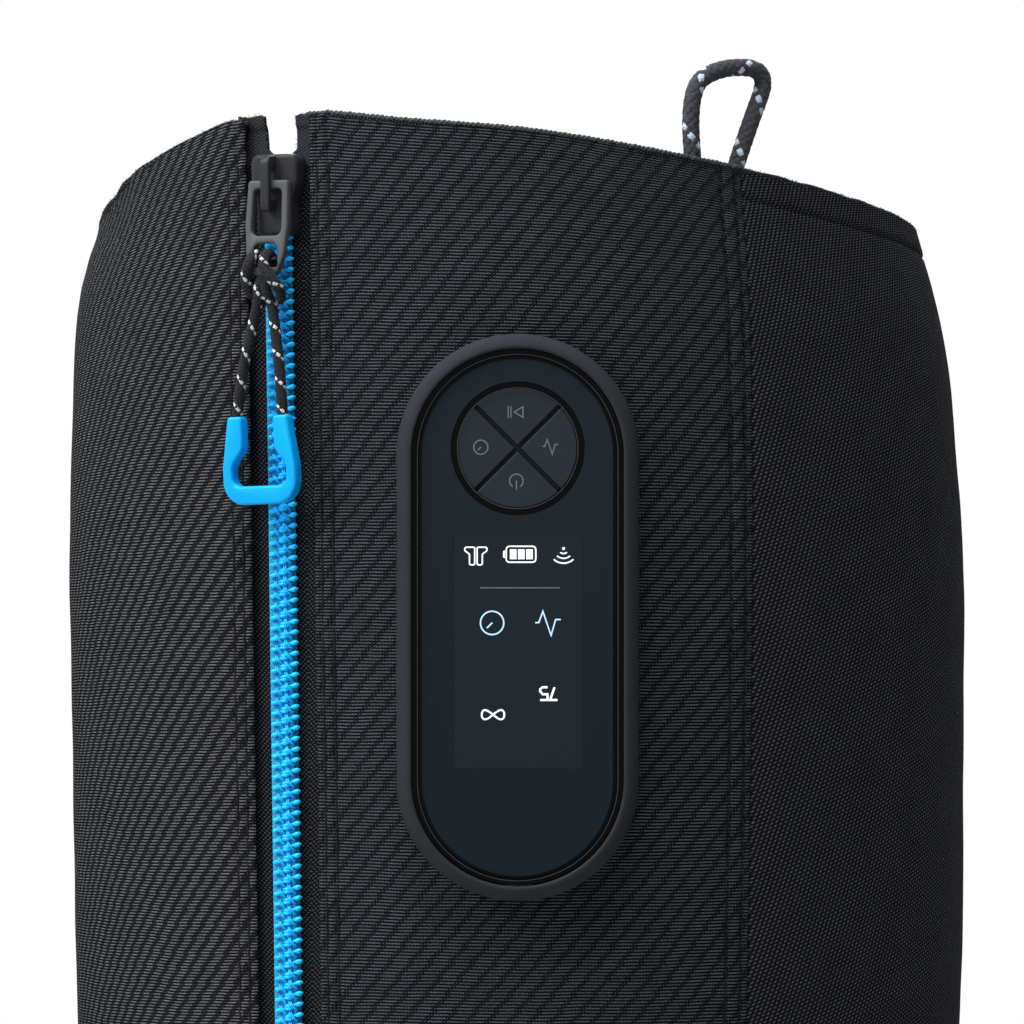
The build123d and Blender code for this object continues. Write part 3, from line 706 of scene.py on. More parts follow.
class Graph:
    """A material and its node tree."""

    def __init__(self, name: str) -> None:
        """Starts a material with an empty tree."""
        self.material = bpy.data.materials.new(name)
        self.material.use_nodes = True
        self.tree = self.material.node_tree
        self.tree.nodes.clear()

    def term(self, output: str | int, kind: str, inputs: dict[str | int, Any],
             **settings: Any) -> Term:
        """One output of a new node."""
        return Term(self, node(self.tree, kind, inputs, **settings).outputs[output])

    def math(self, operation: str, *values: "Term | float", clamp: bool = False) -> Term:
        """One arithmetic node."""
        return self.term(0, "ShaderNodeMath", dict(enumerate(values)), operation=operation,
                         use_clamp=clamp)

    def vector(self, *parts: "Term | float") -> Term:
        """A vector of three values."""
        return self.term(0, "ShaderNodeCombineXYZ", dict(enumerate(parts)))

    def place(self, kind: str) -> list[Term]:
        """A surface point's three coordinates of one kind, in millimetres."""
        source = node(self.tree, "ShaderNodeTexCoord").outputs[kind]
        split = node(self.tree, "ShaderNodeSeparateXYZ", {0: source})
        return [Term(self, out) * (1 / MM) for out in split.outputs]

    def on_cloth(self) -> tuple[Term, Term, Term]:
        """Distances u and v on the cloth, and the vector of both."""
        u, v, _ = self.place("UV")
        return u, v, self.vector(u, v, 0.0)

    def on_part(self) -> tuple[Term, Term, Term, Term]:
        """The part's own x, y and z, and the vector of them."""
        x, y, z = self.place("Object")
        return x, y, z, self.vector(x, y, z)

    def noise(self, at: Term, size: float, detail: float = 2.0) -> Term:
        """Smooth noise from 0 to 1 with blotches of about size millimetres."""
        return self.term(0, "ShaderNodeTexNoise", {"Vector": at, "Scale": 1 / size,
                                                   "Detail": detail})

    def cells(self, at: Term, size: float) -> Term:
        """Distance from the middle of cells of about size millimetres."""
        return self.term("Distance", "ShaderNodeTexVoronoi", {"Vector": at, "Scale": 1 / size})

    def shade(self, amount: Term, stops: Sequence[tuple[float, Colour]]) -> Term:
        """A colour that follows amount through stops."""
        made = node(self.tree, "ShaderNodeValToRGB", {0: amount})
        ramp = made.color_ramp
        while len(ramp.elements) < len(stops):
            ramp.elements.new(1.0)
        for element, (position, colour) in zip(ramp.elements, stops):
            element.position = position
            element.color = (*colour, 1.0)
        return Term(self, made.outputs["Color"])

    def finish(self, colour: Term, roughness: Term, height: Term, depth: float,
               **fixed: float | Colour) -> bpy.types.Material:
        """Ends the tree in a shader.

        Args:
            colour: the surface's colour.
            roughness: its roughness.
            height: its relief from 0 to 1.
            depth: the relief's depth in millimetres.
            fixed: other shader sockets, with _ for a space.

        Returns:
            The material.
        """
        bump = node(self.tree, "ShaderNodeBump", {"Distance": depth * MM, "Strength": 1.0,
                                                  "Height": height})
        others = {label.replace("_", " "): (*value, 1.0) if isinstance(value, tuple) else value
                  for label, value in fixed.items()}
        shader = node(self.tree, "ShaderNodeBsdfPrincipled", {
            "Normal": bump.outputs[0], "Base Color": colour, "Roughness": roughness, **others})
        node(self.tree, "ShaderNodeOutputMaterial", {"Surface": shader.outputs[0]})
        return self.material


@dataclass(frozen=True)
class MeshCloth:
    """Open woven cloth: weft floats in a broken twill over a dark net."""

    name: str
    yarn: Colour
    column: float = 0.88
    row: float = 0.88
    repeat: float = 6.0
    step: float = 0.75
    float_half: float = 1.75
    thick: float = 0.3
    net: float = 0.2
    dots: float = 0.5
    broken: float = 0.0
    grain: float = 0.0

    def material(self) -> bpy.types.Material:
        """Builds the weave from distances on the cloth."""
        g = Graph(self.name)
        u, v, at = g.on_cloth()
        drift = g.noise(at, 16.0)
        sway = g.noise(at, 31.0)
        x = (u + drift * 0.9) * (1 / self.column)
        y = (v - u * self.grain + sway * 1.6) * (1 / self.row)
        row = y.floor()
        lean = (row * self.step).floor()
        phase = ((x - lean) * (1 / self.repeat)).fract() * self.repeat
        thread = g.noise(g.vector(x * 0.11, row * 3.7, 0.0), 1.0, detail=1.0)
        away = g.math("ABSOLUTE", phase - (self.float_half + 0.25))
        over = away.ramp(self.float_half + 0.2, self.float_half - 0.35)
        weft = y.fract().arch(0.5, self.thick)
        warp = x.fract().arch(0.5, 0.27)
        between = g.math("ABSOLUTE", x.fract() - 0.5).arch(0.5, 0.28)
        patch = g.noise(at, 9.0, detail=3.0)
        run = over * (between * self.broken + (1.0 - self.broken))
        lit = weft * (run + between * (1.0 - over) * self.dots) * (thread * 0.7 + 0.62)
        shine = g.math("MAXIMUM", warp * self.net, lit * (patch * 0.5 + 0.72))
        colour = g.shade(shine, [(0.0, (0.0013, 0.0014, 0.0017)), (1.0, self.yarn)])
        height = g.math("MAXIMUM", warp * 0.4, weft * (over * 0.62 + 0.38))
        rough = 0.92 - shine * 0.22
        return g.finish(colour, rough, height, 0.16, Specular_IOR_Level=0.005)


@dataclass(frozen=True)
class DotCloth:
    """Close woven cloth that shows as slanting rows of small raised dots."""

    name: str
    yarn: Colour = srgb(86, 87, 92)
    first: tuple[float, float] = (0.262, -0.975)
    second: tuple[float, float] = (0.647, -0.276)
    depth: float = 0.18
    floor: float = 0.0
    sharp: float = 1.2
    fold: float = 0.0

    def material(self) -> bpy.types.Material:
        """Builds the weave from distances on the cloth, mirrored about the fold if any."""
        g = Graph(self.name)
        u, v, at = g.on_cloth()
        if self.fold:
            u = g.math("ABSOLUTE", g.math("ABSOLUTE", u) - self.fold)
        drift = g.noise(at, 22.0) * 0.8
        rows = [((u + drift) * a + (v + drift) * b).cosine() * 0.5 + 0.5
                for a, b in (self.first, self.second)]
        dots = (rows[0] * rows[1]).power(self.sharp)
        fibre = g.noise(at, 0.35, detail=2.0)
        patch = g.noise(at, 12.0, detail=3.0)
        shine = (dots * 0.86 + 0.05) * (fibre * 0.7 + 0.6) * (patch * 0.5 + 0.75)
        dark = tuple(0.0014 + self.floor * c for c in self.yarn)
        colour = g.shade(shine, [(0.0, dark), (1.0, self.yarn)])
        height = dots + fibre * 0.15
        return g.finish(colour, 0.9 - shine * 0.2, height, self.depth,
                        Specular_IOR_Level=0.005)


@dataclass(frozen=True)
class CoatedCloth:
    """Smooth coated cloth with fine ribs and soft creases, painted darker in the creases' hollows
    as shade.
    """

    name: str
    colour: Colour = srgb(34, 35, 38)

    def material(self) -> bpy.types.Material:
        """Builds the finish from distances on the cloth."""
        g = Graph(self.name)
        u, v, at = g.on_cloth()
        ribs = (u * 1.6).cosine() * 0.5 + 0.5
        picks = (v * 1.6).cosine() * 0.5 + 0.5
        crease_and_shade = g.noise(at, 18.0, detail=4.0)
        # Painted shade: the colour is darker where the crease relief is low.
        shine = crease_and_shade * 0.7 + ribs * picks * 0.25
        dark = tuple(0.55 * c for c in self.colour)
        colour = g.shade(shine, [(0.15, dark), (0.9, self.colour)])
        height = crease_and_shade * 0.9 + ribs * picks * 0.1
        return g.finish(colour, 0.5 + crease_and_shade * 0.2, height, 0.9, Specular_IOR_Level=0.25)


@dataclass(frozen=True)
class Yarn:
    """Spun yarn, with fibres along it and a little fuzz."""

    name: str
    colour: Colour
    twist: float = 0.5

    def material(self) -> bpy.types.Material:
        """Builds the fibres from distances on each strand."""
        g = Graph(self.name)
        u, v, _ = g.place("UV")
        *_, at = g.on_part()
        fibres = ((v * self.twist + u) * 2.6).cosine() * 0.5 + 0.5
        fuzz = g.noise(at, 0.22, detail=3.0)
        patch = g.noise(at, 2.4, detail=2.0)
        shine = fibres * 0.4 + fuzz * 0.45 + patch * 0.3
        dark = tuple(0.3 * c for c in self.colour)
        colour = g.shade(shine, [(0.25, dark), (0.85, self.colour)])
        return g.finish(colour, 0.95 - fibres * 0.1, fibres * 0.5 + fuzz * 0.6, 0.14,
                        Specular_IOR_Level=0.1, Sheen_Weight=0.03, Sheen_Roughness=0.6)


@dataclass(frozen=True)
class Moulded:
    """Moulded plastic or rubber, with a fine skin, soft mottling and handling marks."""

    name: str
    colour: Colour
    rough: float = 0.45
    grain: float = 0.35
    depth: float = 0.015
    mottle: float = 0.12
    specular: float = 0.3
    coat: float = 0.0
    subsurface: float = 0.0

    def material(self) -> bpy.types.Material:
        """Builds the finish from the part's own coordinates."""
        g = Graph(self.name)
        x, y, z, at = g.on_part()
        skin = g.noise(at, self.grain, detail=2.0)
        cloud = g.noise(at, 14.0, detail=4.0)
        marks = g.noise(g.vector(x * 0.6, y * 0.6, z * 7.0), 5.0, detail=5.0).ramp(0.56, 0.75)
        low = tuple(c * (1 - self.mottle) for c in self.colour)
        high = tuple(min(1.0, c * (1 + self.mottle)) for c in self.colour)
        colour = g.shade(cloud * 0.8 + skin * 0.2, [(0.3, low), (0.7, high)])
        rough = skin * 0.08 + cloud * 0.06 + (self.rough - 0.07) - marks * 0.05
        extra = {}
        if self.subsurface:
            extra = {"Subsurface_Weight": self.subsurface, "Subsurface_Scale": 0.002}
        return g.finish(colour, rough, skin + marks * 0.3, self.depth, Coat_Weight=self.coat,
                        Coat_Roughness=0.08, Specular_IOR_Level=self.specular, **extra)


@dataclass(frozen=True)
class Plate:
    """The pump unit's face: fine matt lacquer, blue-black, with painted shade that darkens it
    towards grey-black at the bottom.
    """

    name: str
    # upper and lower: colours at the top and at the bottom of the face; the darker lower one is
    # painted shade.
    upper: Colour
    lower: Colour
    rough: float = 0.36

    def material(self) -> bpy.types.Material:
        """Builds the finish from the part's own coordinates."""
        g = Graph(self.name)
        *_, z, at = g.on_part()
        grain = g.noise(at, 0.12, detail=1.0)
        cloud = g.noise(at, 26.0, detail=2.0)
        # Painted shade: the colour darkens from upper to lower towards the bottom of the face.
        height = (z - 580.0) * (1 / 160.0) + cloud * 0.16 - 0.08 + (grain - 0.5) * 0.05
        colour = g.shade(height, [(0.05, self.lower), (0.9, self.upper)])
        return g.finish(colour, grain * 0.06 + (self.rough - 0.03) + cloud * 0.04, grain, 0.004,
                        Specular_IOR_Level=0.06)


@dataclass(frozen=True)
class Lit:
    """A lit or printed mark."""

    name: str
    colour: Colour
    glow: float = 0.0

    def material(self) -> bpy.types.Material:
        """Builds the ink or light, slightly uneven as screen dots are."""
        g = Graph(self.name)
        *_, at = g.on_part()
        dots = g.cells(at, 0.16)
        grain = g.noise(at, 0.5)
        base = tuple((1 - 0.75 * min(self.glow, 1.0)) * c for c in self.colour)
        low = tuple(0.86 * c for c in base)
        colour = g.shade(grain * 0.8 + dots * 0.2, [(0.2, low), (0.6, base)])
        return g.finish(colour, 0.5 + grain * 0.1, grain, 0.002, Specular_IOR_Level=0.1,
                        Emission_Color=self.colour, Emission_Strength=self.glow)


@dataclass(frozen=True)
class Brushed:
    """Bare or plated metal with fine lines."""

    name: str
    colour: Colour
    rough: float = 0.3

    def material(self) -> bpy.types.Material:
        """Builds the lines from the part's own coordinates."""
        g = Graph(self.name)
        x, y, z, at = g.on_part()
        lines = g.noise(g.vector(x * 0.2, y * 0.2, z * 6.0), 0.8, detail=3.0)
        cloud = g.noise(at, 6.0)
        low = tuple(0.75 * c for c in self.colour)
        colour = g.shade(cloud * 0.6 + lines * 0.4, [(0.3, low), (0.7, self.colour)])
        return g.finish(colour, lines * 0.15 + self.rough, lines, 0.01, Metallic=1.0)


# ---- Local frames and the leg ---------------------------------------------------------
@dataclass(frozen=True)
class LocalFrame:
    """A flat local frame, in millimetres: x across, y up and z out."""

    origin: np.ndarray
    across: np.ndarray
    up: np.ndarray
    out: np.ndarray

    def world(self, points: Points) -> np.ndarray:
        """Row-frame points of local ones, in the same arrangement."""
        return self.origin + np.asarray(points, float) @ np.stack([self.across, self.up, self.out])

    def level(self, outline: np.ndarray, height: float) -> np.ndarray:
        """Row-frame points of a flat outline that lies at a height."""
        return self.world(np.column_stack([outline, np.full(len(outline), height)]))


def joint(name: str) -> dict:
    """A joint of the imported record."""
    return next(j for j in frame["joints"] if j["name"] == name)


def zip_frame(hinge_along: float = -20.4, hinge_out: float = 3.6) -> LocalFrame:
    """The zip's frame, found from its slide and from the pull tab's hinge.

    Args:
        hinge_along: the hinge's place along the chain from the top.
        hinge_out: its height over the cover.

    Returns:
        The frame, with its origin at the top of the zip line.
    """
    up = -np.array(joint("zip_run")["axis"], float)
    across = np.array([1.0, 0.0, 0.0])
    out = np.cross(across, up)
    hinge = np.array(joint("tab_flip")["pos_m"], float) / MM
    return LocalFrame(hinge - hinge_along * up - hinge_out * out, across, up, out)


def pod_frame(bezel_front: float = 8.5) -> LocalFrame:
    """The pump unit's frame, found from its buttons' travel and its bezel.

    Args:
        bezel_front: the bezel's reach along the frame's z.

    Returns:
        The frame, with its origin on the thigh behind the middle of the bezel.
    """
    out = -np.array(joint("press_play")["axis"], float)
    up = np.array([0.0, 0.0, 1.0])
    axes = np.stack([np.cross(up, out), up, out])
    corners = np.array([v.co for v in frame["nodes"]["bezel"].data.vertices]) / MM @ axes.T
    middle = (corners.min(axis=0) + corners.max(axis=0)) / 2
    middle[2] = corners[:, 2].max() - bezel_front
    return LocalFrame(middle @ axes, *axes)


def tree_of(*nodes: str) -> BVHTree:
    """A search tree over some nodes' surfaces, in metres."""
    corners, faces = [], []
    for node in nodes:
        mesh = frame["nodes"][node].data
        first = len(corners)
        corners += [tuple(v.co) for v in mesh.vertices]
        faces += [tuple(first + i for i in face.vertices) for face in mesh.polygons]
    return BVHTree.FromPolygons(corners, faces)


class LegShape:
    """The leg's round sections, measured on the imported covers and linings."""

    # The soft rim dips beside the zip, on the side away from the pump unit, and the cloth
    # below it leans in: depth over the angle from the zip, and lean over the height.
    dip_degrees = (-124.0, -106.0, -90.0, -76.0, -66.0, -58.0, -50.0, -42.0, -33.0)
    dip_depths = (0.0, 5.5, 11.0, 14.5, 15.0, 13.0, 9.5, 4.9, 0.0)
    lean_heights = (690.0, 735.0, 747.0, 755.0, 764.0, 769.0, 775.0, 800.0)
    lean_amounts = (0.0, 1.0, 1.2, 2.0, 4.6, 7.0, 8.8, 10.0)

    def __init__(self, zip_line: LocalFrame) -> None:
        """Measures the leg.

        Args:
            zip_line: the zip's frame, whose upright line is the front of the leg.
        """
        self.zip_line = zip_line
        self.outside = tree_of("front_panel", "side_panel", "back_panel", "foot_cover",
                               "outsole")
        self.inside = tree_of("leg_lining", "foot_lining")
        self.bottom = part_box("back_panel")[0].z / MM
        self.heights = np.arange(self.bottom + 1, 781, 3.0)
        self.radii = np.array([self.measured_radius(z) for z in self.heights])
        walls = np.array([self.measured_wall(z) for z in self.heights])
        good = ~np.isnan(walls)
        self.walls = np.interp(self.heights, self.heights[good], walls[good])
        self.rim_angles = np.radians(np.arange(-180, 181, 2.0))
        self.rims = self.measured_rims()

    def front(self, z: np.ndarray | float) -> np.ndarray | float:
        """Where the zip line is along Y at height z."""
        lean = self.zip_line.up[1] / self.zip_line.up[2]
        return self.zip_line.origin[1] + (z - self.zip_line.origin[2]) * lean

    def measured_radius(self, z: float) -> float:
        """Half the distance from the zip line to the back of the cover."""
        hit = self.outside.ray_cast(Vector((0, 0.6, z * MM)), Vector((0, -1, 0)))[0]
        return (hit.y / MM - self.front(z)) / 2

    def measured_wall(self, z: float) -> float:
        """Thickness from the cover's outside to the lining's inside."""
        radius = self.measured_radius(z)
        start = Vector((0, (self.front(z) + radius) * MM, z * MM))
        hit = self.inside.ray_cast(start, Vector((1, 0, 0)))[0]
        return radius - hit.x / MM if hit else math.nan

    def measured_rims(self) -> np.ndarray:
        """Rim height at each of the rim angles, with the zip's gap filled in."""
        tree = tree_of("rim_binding")
        found = []
        for angle in self.rim_angles:
            x, y, _ = self.place(angle, 785.0, -3.0)
            hit = tree.ray_cast(Vector((x * MM, y * MM, 1.0)), Vector((0, 0, -1)))[0]
            found.append(hit.z / MM if hit else np.nan)
        good = ~np.isnan(found)
        return np.interp(self.rim_angles, self.rim_angles[good], np.array(found)[good])

    def radius(self, z: np.ndarray | float) -> np.ndarray:
        """Outer radius at height z, carried on past the measured heights."""
        z = np.asarray(z, float)
        slope = (self.radii[-1] - self.radii[-4]) / (self.heights[-1] - self.heights[-4])
        above = np.maximum(z - self.heights[-1], 0)
        return np.interp(z, self.heights, self.radii) + above * slope

    def wall(self, z: np.ndarray | float) -> np.ndarray:
        """Wall thickness at height z."""
        return np.interp(z, self.heights, self.walls)

    def rim(self, angle: np.ndarray | float) -> np.ndarray:
        """Rim height at an angle from the zip, towards +X."""
        wrapped = (np.asarray(angle, float) + math.pi) % TURN - math.pi
        dip = np.interp(np.degrees(wrapped), self.dip_degrees, self.dip_depths)
        return np.interp(wrapped, self.rim_angles, self.rims) - dip

    def lean(self, angle: np.ndarray, z: np.ndarray) -> np.ndarray:
        """How far the soft rim leans in on the side away from the pump unit."""
        turn = (angle + math.pi) % TURN - math.pi
        share = np.clip(1 - np.abs(turn + math.radians(76)) / math.radians(62), 0, 1)
        return share**2 * (3 - 2 * share) * np.interp(z, self.lean_heights, self.lean_amounts)

    def place(self, angle: np.ndarray | float, z: np.ndarray | float,
              lift: np.ndarray | float) -> np.ndarray:
        """Points on the leg.

        Args:
            angle: angle from the zip, towards +X, in radians.
            z: height.
            lift: distance out from the cover's outer surface.

        Returns:
            The points, one row each.
        """
        angle, z, lift = np.broadcast_arrays(angle, z, lift)
        radius = self.radius(z)
        reach = radius + lift - self.lean(angle, z)
        return np.stack([reach * np.sin(angle), self.front(z) + radius - reach * np.cos(angle),
                         z.astype(float)], axis=-1)

    def seam(self, point: tuple[float, float], z: np.ndarray, axis_y: float = 20.0) -> np.ndarray:
        """Angle at which the upright plane from the seam axis through point meets the leg."""
        way = np.array(point) - np.array([0.0, axis_y])
        way = way / np.linalg.norm(way)
        radius = self.radius(z)
        centre = self.front(z) + radius
        offset = axis_y - centre
        reach = -offset * way[1] + np.sqrt(np.maximum(radius**2 - (offset * way[0]) ** 2, 1.0))
        x, y = reach * way[0], axis_y + reach * way[1]
        return np.arctan2(x, -(y - centre))


# ---- Studio ---------------------------------------------------------------------------
@dataclass
class Studio:
    """Camera, lamps, pale floor and white surroundings."""

    pod: LocalFrame
    distance: float = 1500.0
    focus_out: float = 6.5
    sideways: float = -1.54
    eye_z: float = 690.1
    lens: float = 195.3
    floor_radius: float = 5800.0
    # Each lamp: azimuth and elevation seen from the pump unit, distance and size in
    # metres, and power in watts.
    lamps: dict[str, tuple[float, float, float, float, float]] = field(default_factory=lambda: {
        "key": (-64.0, 36.0, 2.4, 1.2, 60.0),
        "front": (-22.0, 20.0, 2.8, 1.6, 9.0),
        "right": (78.0, 25.0, 2.6, 1.4, 1.5),
        "top": (-20.0, 72.0, 1.5, 0.9, 36.0),
        "side": (122.0, 20.0, 2.6, 1.4, 7.0),
        "back": (165.0, 35.0, 2.8, 1.8, 36.0),
    })

    def camera(self) -> None:
        """Sets up the camera level with the pump unit's upper half."""
        data = bpy.data.cameras.new("camera")
        data.lens = self.lens
        data.sensor_width = 36.0
        data.clip_end = 60.0
        eye = new_object("camera", data)
        place = self.pod.world((self.sideways, 0, self.focus_out + self.distance))
        place[2] = self.eye_z
        eye.location = place * MM
        eye.rotation_mode = "QUATERNION"
        eye.rotation_quaternion = (-Vector(self.pod.out)).to_track_quat("-Z", "Y")
        bpy.context.scene.camera = eye

    def lamp(self, name: str, azimuth: float, elevation: float, distance: float, size: float,
             power: float) -> None:
        """Adds one soft square lamp that looks at the thigh."""
        data = bpy.data.lights.new(name, "AREA")
        data.shape = "SQUARE"
        data.size = size
        data.energy = power
        turn, rise = math.radians(azimuth), math.radians(elevation)
        way = (math.cos(turn) * math.cos(rise) * self.pod.out
               + math.sin(turn) * math.cos(rise) * self.pod.across
               + math.sin(rise) * self.pod.up)
        target = Vector((0.0, 0.03, 0.55))
        obj = new_object(name, data)
        obj.location = target + Vector(way) * distance
        obj.rotation_mode = "QUATERNION"
        obj.rotation_quaternion = (-Vector(way)).to_track_quat("-Z", "Y")

    def floor(self) -> None:
        """Adds the pale floor, a disc, as stage."""
        pile = MeshPile()
        turn = TURN * np.arange(96) / 96
        ring = np.stack([np.cos(turn), np.sin(turn), 0 * turn], axis=1) * self.floor_radius
        pile.cap(ring, np.zeros(3))
        obj = new_object("floor", pile.mesh("floor"))
        g = Graph("floor_paint")
        cloud = g.noise(g.on_part()[-1], 300.0)
        colour = g.shade(cloud, [(0.3, (0.74, 0.74, 0.745)), (0.7, (0.76, 0.76, 0.765))])
        paint(obj, g.finish(colour, cloud * 0.05 + 0.85, cloud, 0.05, Specular_IOR_Level=0.1))

    def surroundings(self, ambient: float = 0.09) -> None:
        """Makes what the camera, mirrors and glass see white, and the rest a soft light."""
        world = bpy.data.worlds.new("studio")
        bpy.context.scene.world = world
        world.use_nodes = True
        tree = world.node_tree
        tree.nodes.clear()
        path = node(tree, "ShaderNodeLightPath").outputs
        seen = path["Is Camera Ray"]
        for label in ("Is Transmission Ray", "Is Glossy Ray"):
            either = node(tree, "ShaderNodeMath", {0: seen, 1: path[label]}, operation="MAXIMUM")
            seen = either.outputs[0]
        strength = node(tree, "ShaderNodeMapRange", {"Value": seen, "To Min": ambient,
                                                     "To Max": 1.0})
        light = node(tree, "ShaderNodeBackground", {
            "Color": (1, 1, 1, 1), "Strength": strength.outputs["Result"]})
        node(tree, "ShaderNodeOutputWorld", {"Surface": light.outputs[0]})

    def build(self) -> None:
        """Builds the whole studio."""
        self.camera()
        for name, values in self.lamps.items():
            self.lamp(name, *values)
        self.floor()
        self.surroundings()
        bpy.context.scene.view_settings.view_transform = "Standard"


# ---- Cords ----------------------------------------------------------------------------
def spline_path(name: str, route: Points, step: float) -> np.ndarray:
    """Points along the smooth spline through a route's corners.

    Args:
        name: name of the spline.
        route: the corners, in millimetres in the row frame.
        step: distance between the points.

    Returns:
        The points, in millimetres.
    """
    curve = bpy.data.curves.new(name, "CURVE")
    curve.dimensions = "3D"
    curve.resolution_u = 24
    spline = curve.splines.new("NURBS")
    spline.points.add(len(route) - 1)
    for point, place in zip(spline.points, route):
        point.co = (*(np.asarray(place) * MM), 1.0)
    spline.order_u = 3
    spline.use_endpoint_u = True
    obj = new_object(name, curve)
    line = evaluated(obj)
    points = np.array([v.co for v in line.vertices]) / MM
    bpy.data.objects.remove(obj)
    bpy.data.meshes.remove(line)
    return even_path(points, step)


@dataclass(frozen=True)
class Braid:
    """A round braid of strands that pass over and under each other."""

    diameter: float
    carriers: int
    pitch: float
    pale: tuple[int, ...] = (0,)
    depth: float = 0.2
    sides: int = 6

    def add(self, pile: MeshPile, path: np.ndarray) -> None:
        """Adds the braid's strands along path to a pile.

        Args:
            pile: the pile, whose finish 1 is the pale yarn.
            path: evenly spaced points in millimetres.
        """
        _, normal, across = carried_frames(path)
        step = np.linalg.norm(np.diff(path, axis=0), axis=1)
        s = np.concatenate([[0], np.cumsum(step)])
        spread = TURN * self.diameter / 2 / self.carriers
        steep = math.atan(math.pi * self.diameter * 0.85 / self.pitch)
        half_wide = spread * math.cos(steep) * 0.56
        thick = self.diameter * 0.13
        middle = self.diameter / 2 - thick - self.depth * 0.5
        weave = np.cos(TURN * s * self.carriers / self.pitch)
        ring = TURN * np.arange(self.sides) / self.sides
        pile.tube(path, np.repeat(middle * 0.92, len(path)), 10)
        for way in (1, -1):
            for k in range(self.carriers):
                angle = way * TURN * s / self.pitch + TURN * k / self.carriers
                radial = (np.cos(angle)[:, None] * normal + np.sin(angle)[:, None] * across)
                reach = middle + way * weave * self.depth * 0.5
                centre = path + reach[:, None] * radial
                side = np.cross(unit(np.gradient(centre, axis=0)), radial)
                rings = (centre[:, None]
                         + half_wide * np.cos(ring)[None, :, None] * side[:, None]
                         + thick * np.sin(ring)[None, :, None] * radial[:, None])
                pile.skin(rings[:, ::-1], (centre[0], centre[-1]),
                          finish=int(way == -1 and k in self.pale))


@dataclass
class HangLoop:
    """The rope loop that is sewn into the rim."""

    start: tuple[float, float] = (98.3, -19.2)
    heading: float = 61.1
    route: tuple[tuple[float, float], ...] = (
        (0.8, 786.3), (-1.6, 805.5), (9.5, 812.6), (26.5, 812.6), (19.0, 796.0),
        (14.4, 783.9),
    )
    braid: Braid = Braid(5.05, 6, 16.0, pale=(0,), depth=0.36)
    diameter: float = 4.7

    def build(self, finishes: "Finishes") -> None:
        way = math.radians(self.heading)
        route = [(self.start[0] + s * math.cos(way), self.start[1] + s * math.sin(way), z)
                 for s, z in self.route]
        path = spline_path("hang_loop_line", route, 0.6)
        pile = MeshPile()
        self.braid.add(pile, path)
        obj = piece("hang_loop_rope", pile, [finishes.rope, finishes.rope_fleck], "rope",
                    "hang_loop")


@dataclass
class PullCord:
    """The thin cord hitched to the pull tab, and the finger grip on its ends."""

    zip_line: LocalFrame
    braid: Braid = Braid(3.2, 6, 7.6, pale=(0,), depth=0.2, sides=5)
    # The hitch: up behind the bar, out through the eye, down the left, behind both cords,
    # and back to the second cord by the right.
    hitch: tuple[tuple[float, float, float], ...] = (
        (-2.3, -52.9, 6.3), (-1.9, -49.4, 7.6), (-1.3, -46.6, 6.6), (-1.3, -43.8, 3.3),
        (-2.6, -40.4, 3.6), (-3.3, -38.9, 6.4), (-3.8, -41.9, 9.0), (-4.7, -45.7, 9.2),
        (-4.9, -49.0, 7.8), (-3.9, -51.3, 5.2), (-0.8, -52.3, 3.5), (2.4, -52.3, 3.8),
        (5.0, -51.0, 6.2), (5.6, -48.3, 8.8), (3.1, -45.3, 9.8), (0.9, -42.4, 9.3),
        (0.6, -38.9, 6.8), (0.6, -40.2, 3.5), (0.4, -44.0, 3.3), (0.3, -46.9, 6.2),
        (0.9, -49.5, 7.9), (1.9, -53.0, 6.4),
    )
    grip_at: tuple[float, float, float] = (-2.0, -83.5, 7.0)
    grip_roll: float = 2.0
    arm_half: float = 7.3
    strand_top: dict[Side, float] = field(
        default_factory=lambda: {Side.LEFT: -2.2, Side.RIGHT: 1.7})
    strand_y: float = -52.0
    strand_depth: float = 6.3
    bow: float = 0.7

    def braided(self, name: str, route: Points, node_name: str,
                finishes: "Finishes") -> tuple[bpy.types.Object, np.ndarray]:
        """Braids one stretch of the cord along a route.

        Args:
            name: name of the piece, without its last word.
            route: corners of the stretch, in the row frame.
            node_name: the node that it stands for.
            finishes: the finishes to use.

        Returns:
            The piece and its path.
        """
        path = spline_path(f"{name}_line", route, 0.45)
        pile = MeshPile()
        self.braid.add(pile, path)
        obj = piece(f"{name}_braid", pile, [finishes.pull_yarn, finishes.pull_fleck],
                    "pull_rope", node_name, body="pull_cord")
        return obj, path

    def strand(self, side: Side, finishes: "Finishes") -> None:
        """Builds one cord from the hitch to the grip.

        Args:
            side: which of the two.
            finishes: the finishes to use.
        """
        roll = math.radians(self.grip_roll)
        x, y, depth = self.grip_at
        foot = (x + side.value * self.arm_half * math.cos(roll),
                y + side.value * self.arm_half * math.sin(roll), depth)
        top = (self.strand_top[side], self.strand_y, self.strand_depth)
        middle = [tuple(t + (f - t) * share for t, f in zip(top, foot)) for share in (0.35, 0.7)]
        middle = [(mx + side.value * self.bow, my, md + 0.3) for mx, my, md in middle]
        end = (foot[0] + side.value * 0.1, foot[1] - 0.8, foot[2])
        route = self.zip_line.world([(top[0], top[1] + 0.6, top[2]), *middle, end])
        name = f"pull_cord_{side.word}"
        obj, path = self.braided(name, route, name, finishes)
        path[0] * MM
        path * MM

    def build(self, finishes: "Finishes") -> None:
        """Builds the hitch, the grip and both cords."""
        name = "pull_cord_hitch"
        knot, _ = self.braided(name, self.zip_line.world(self.hitch), name, finishes)
        grip = softened("pull_grip", "pull_grip_rubber", 0.3)
        paint(grip, finishes.grip)
        settle(grip, "pull_cord", "blue_grip", "pull_grip")
        for side in Side:
            self.strand(side, finishes)


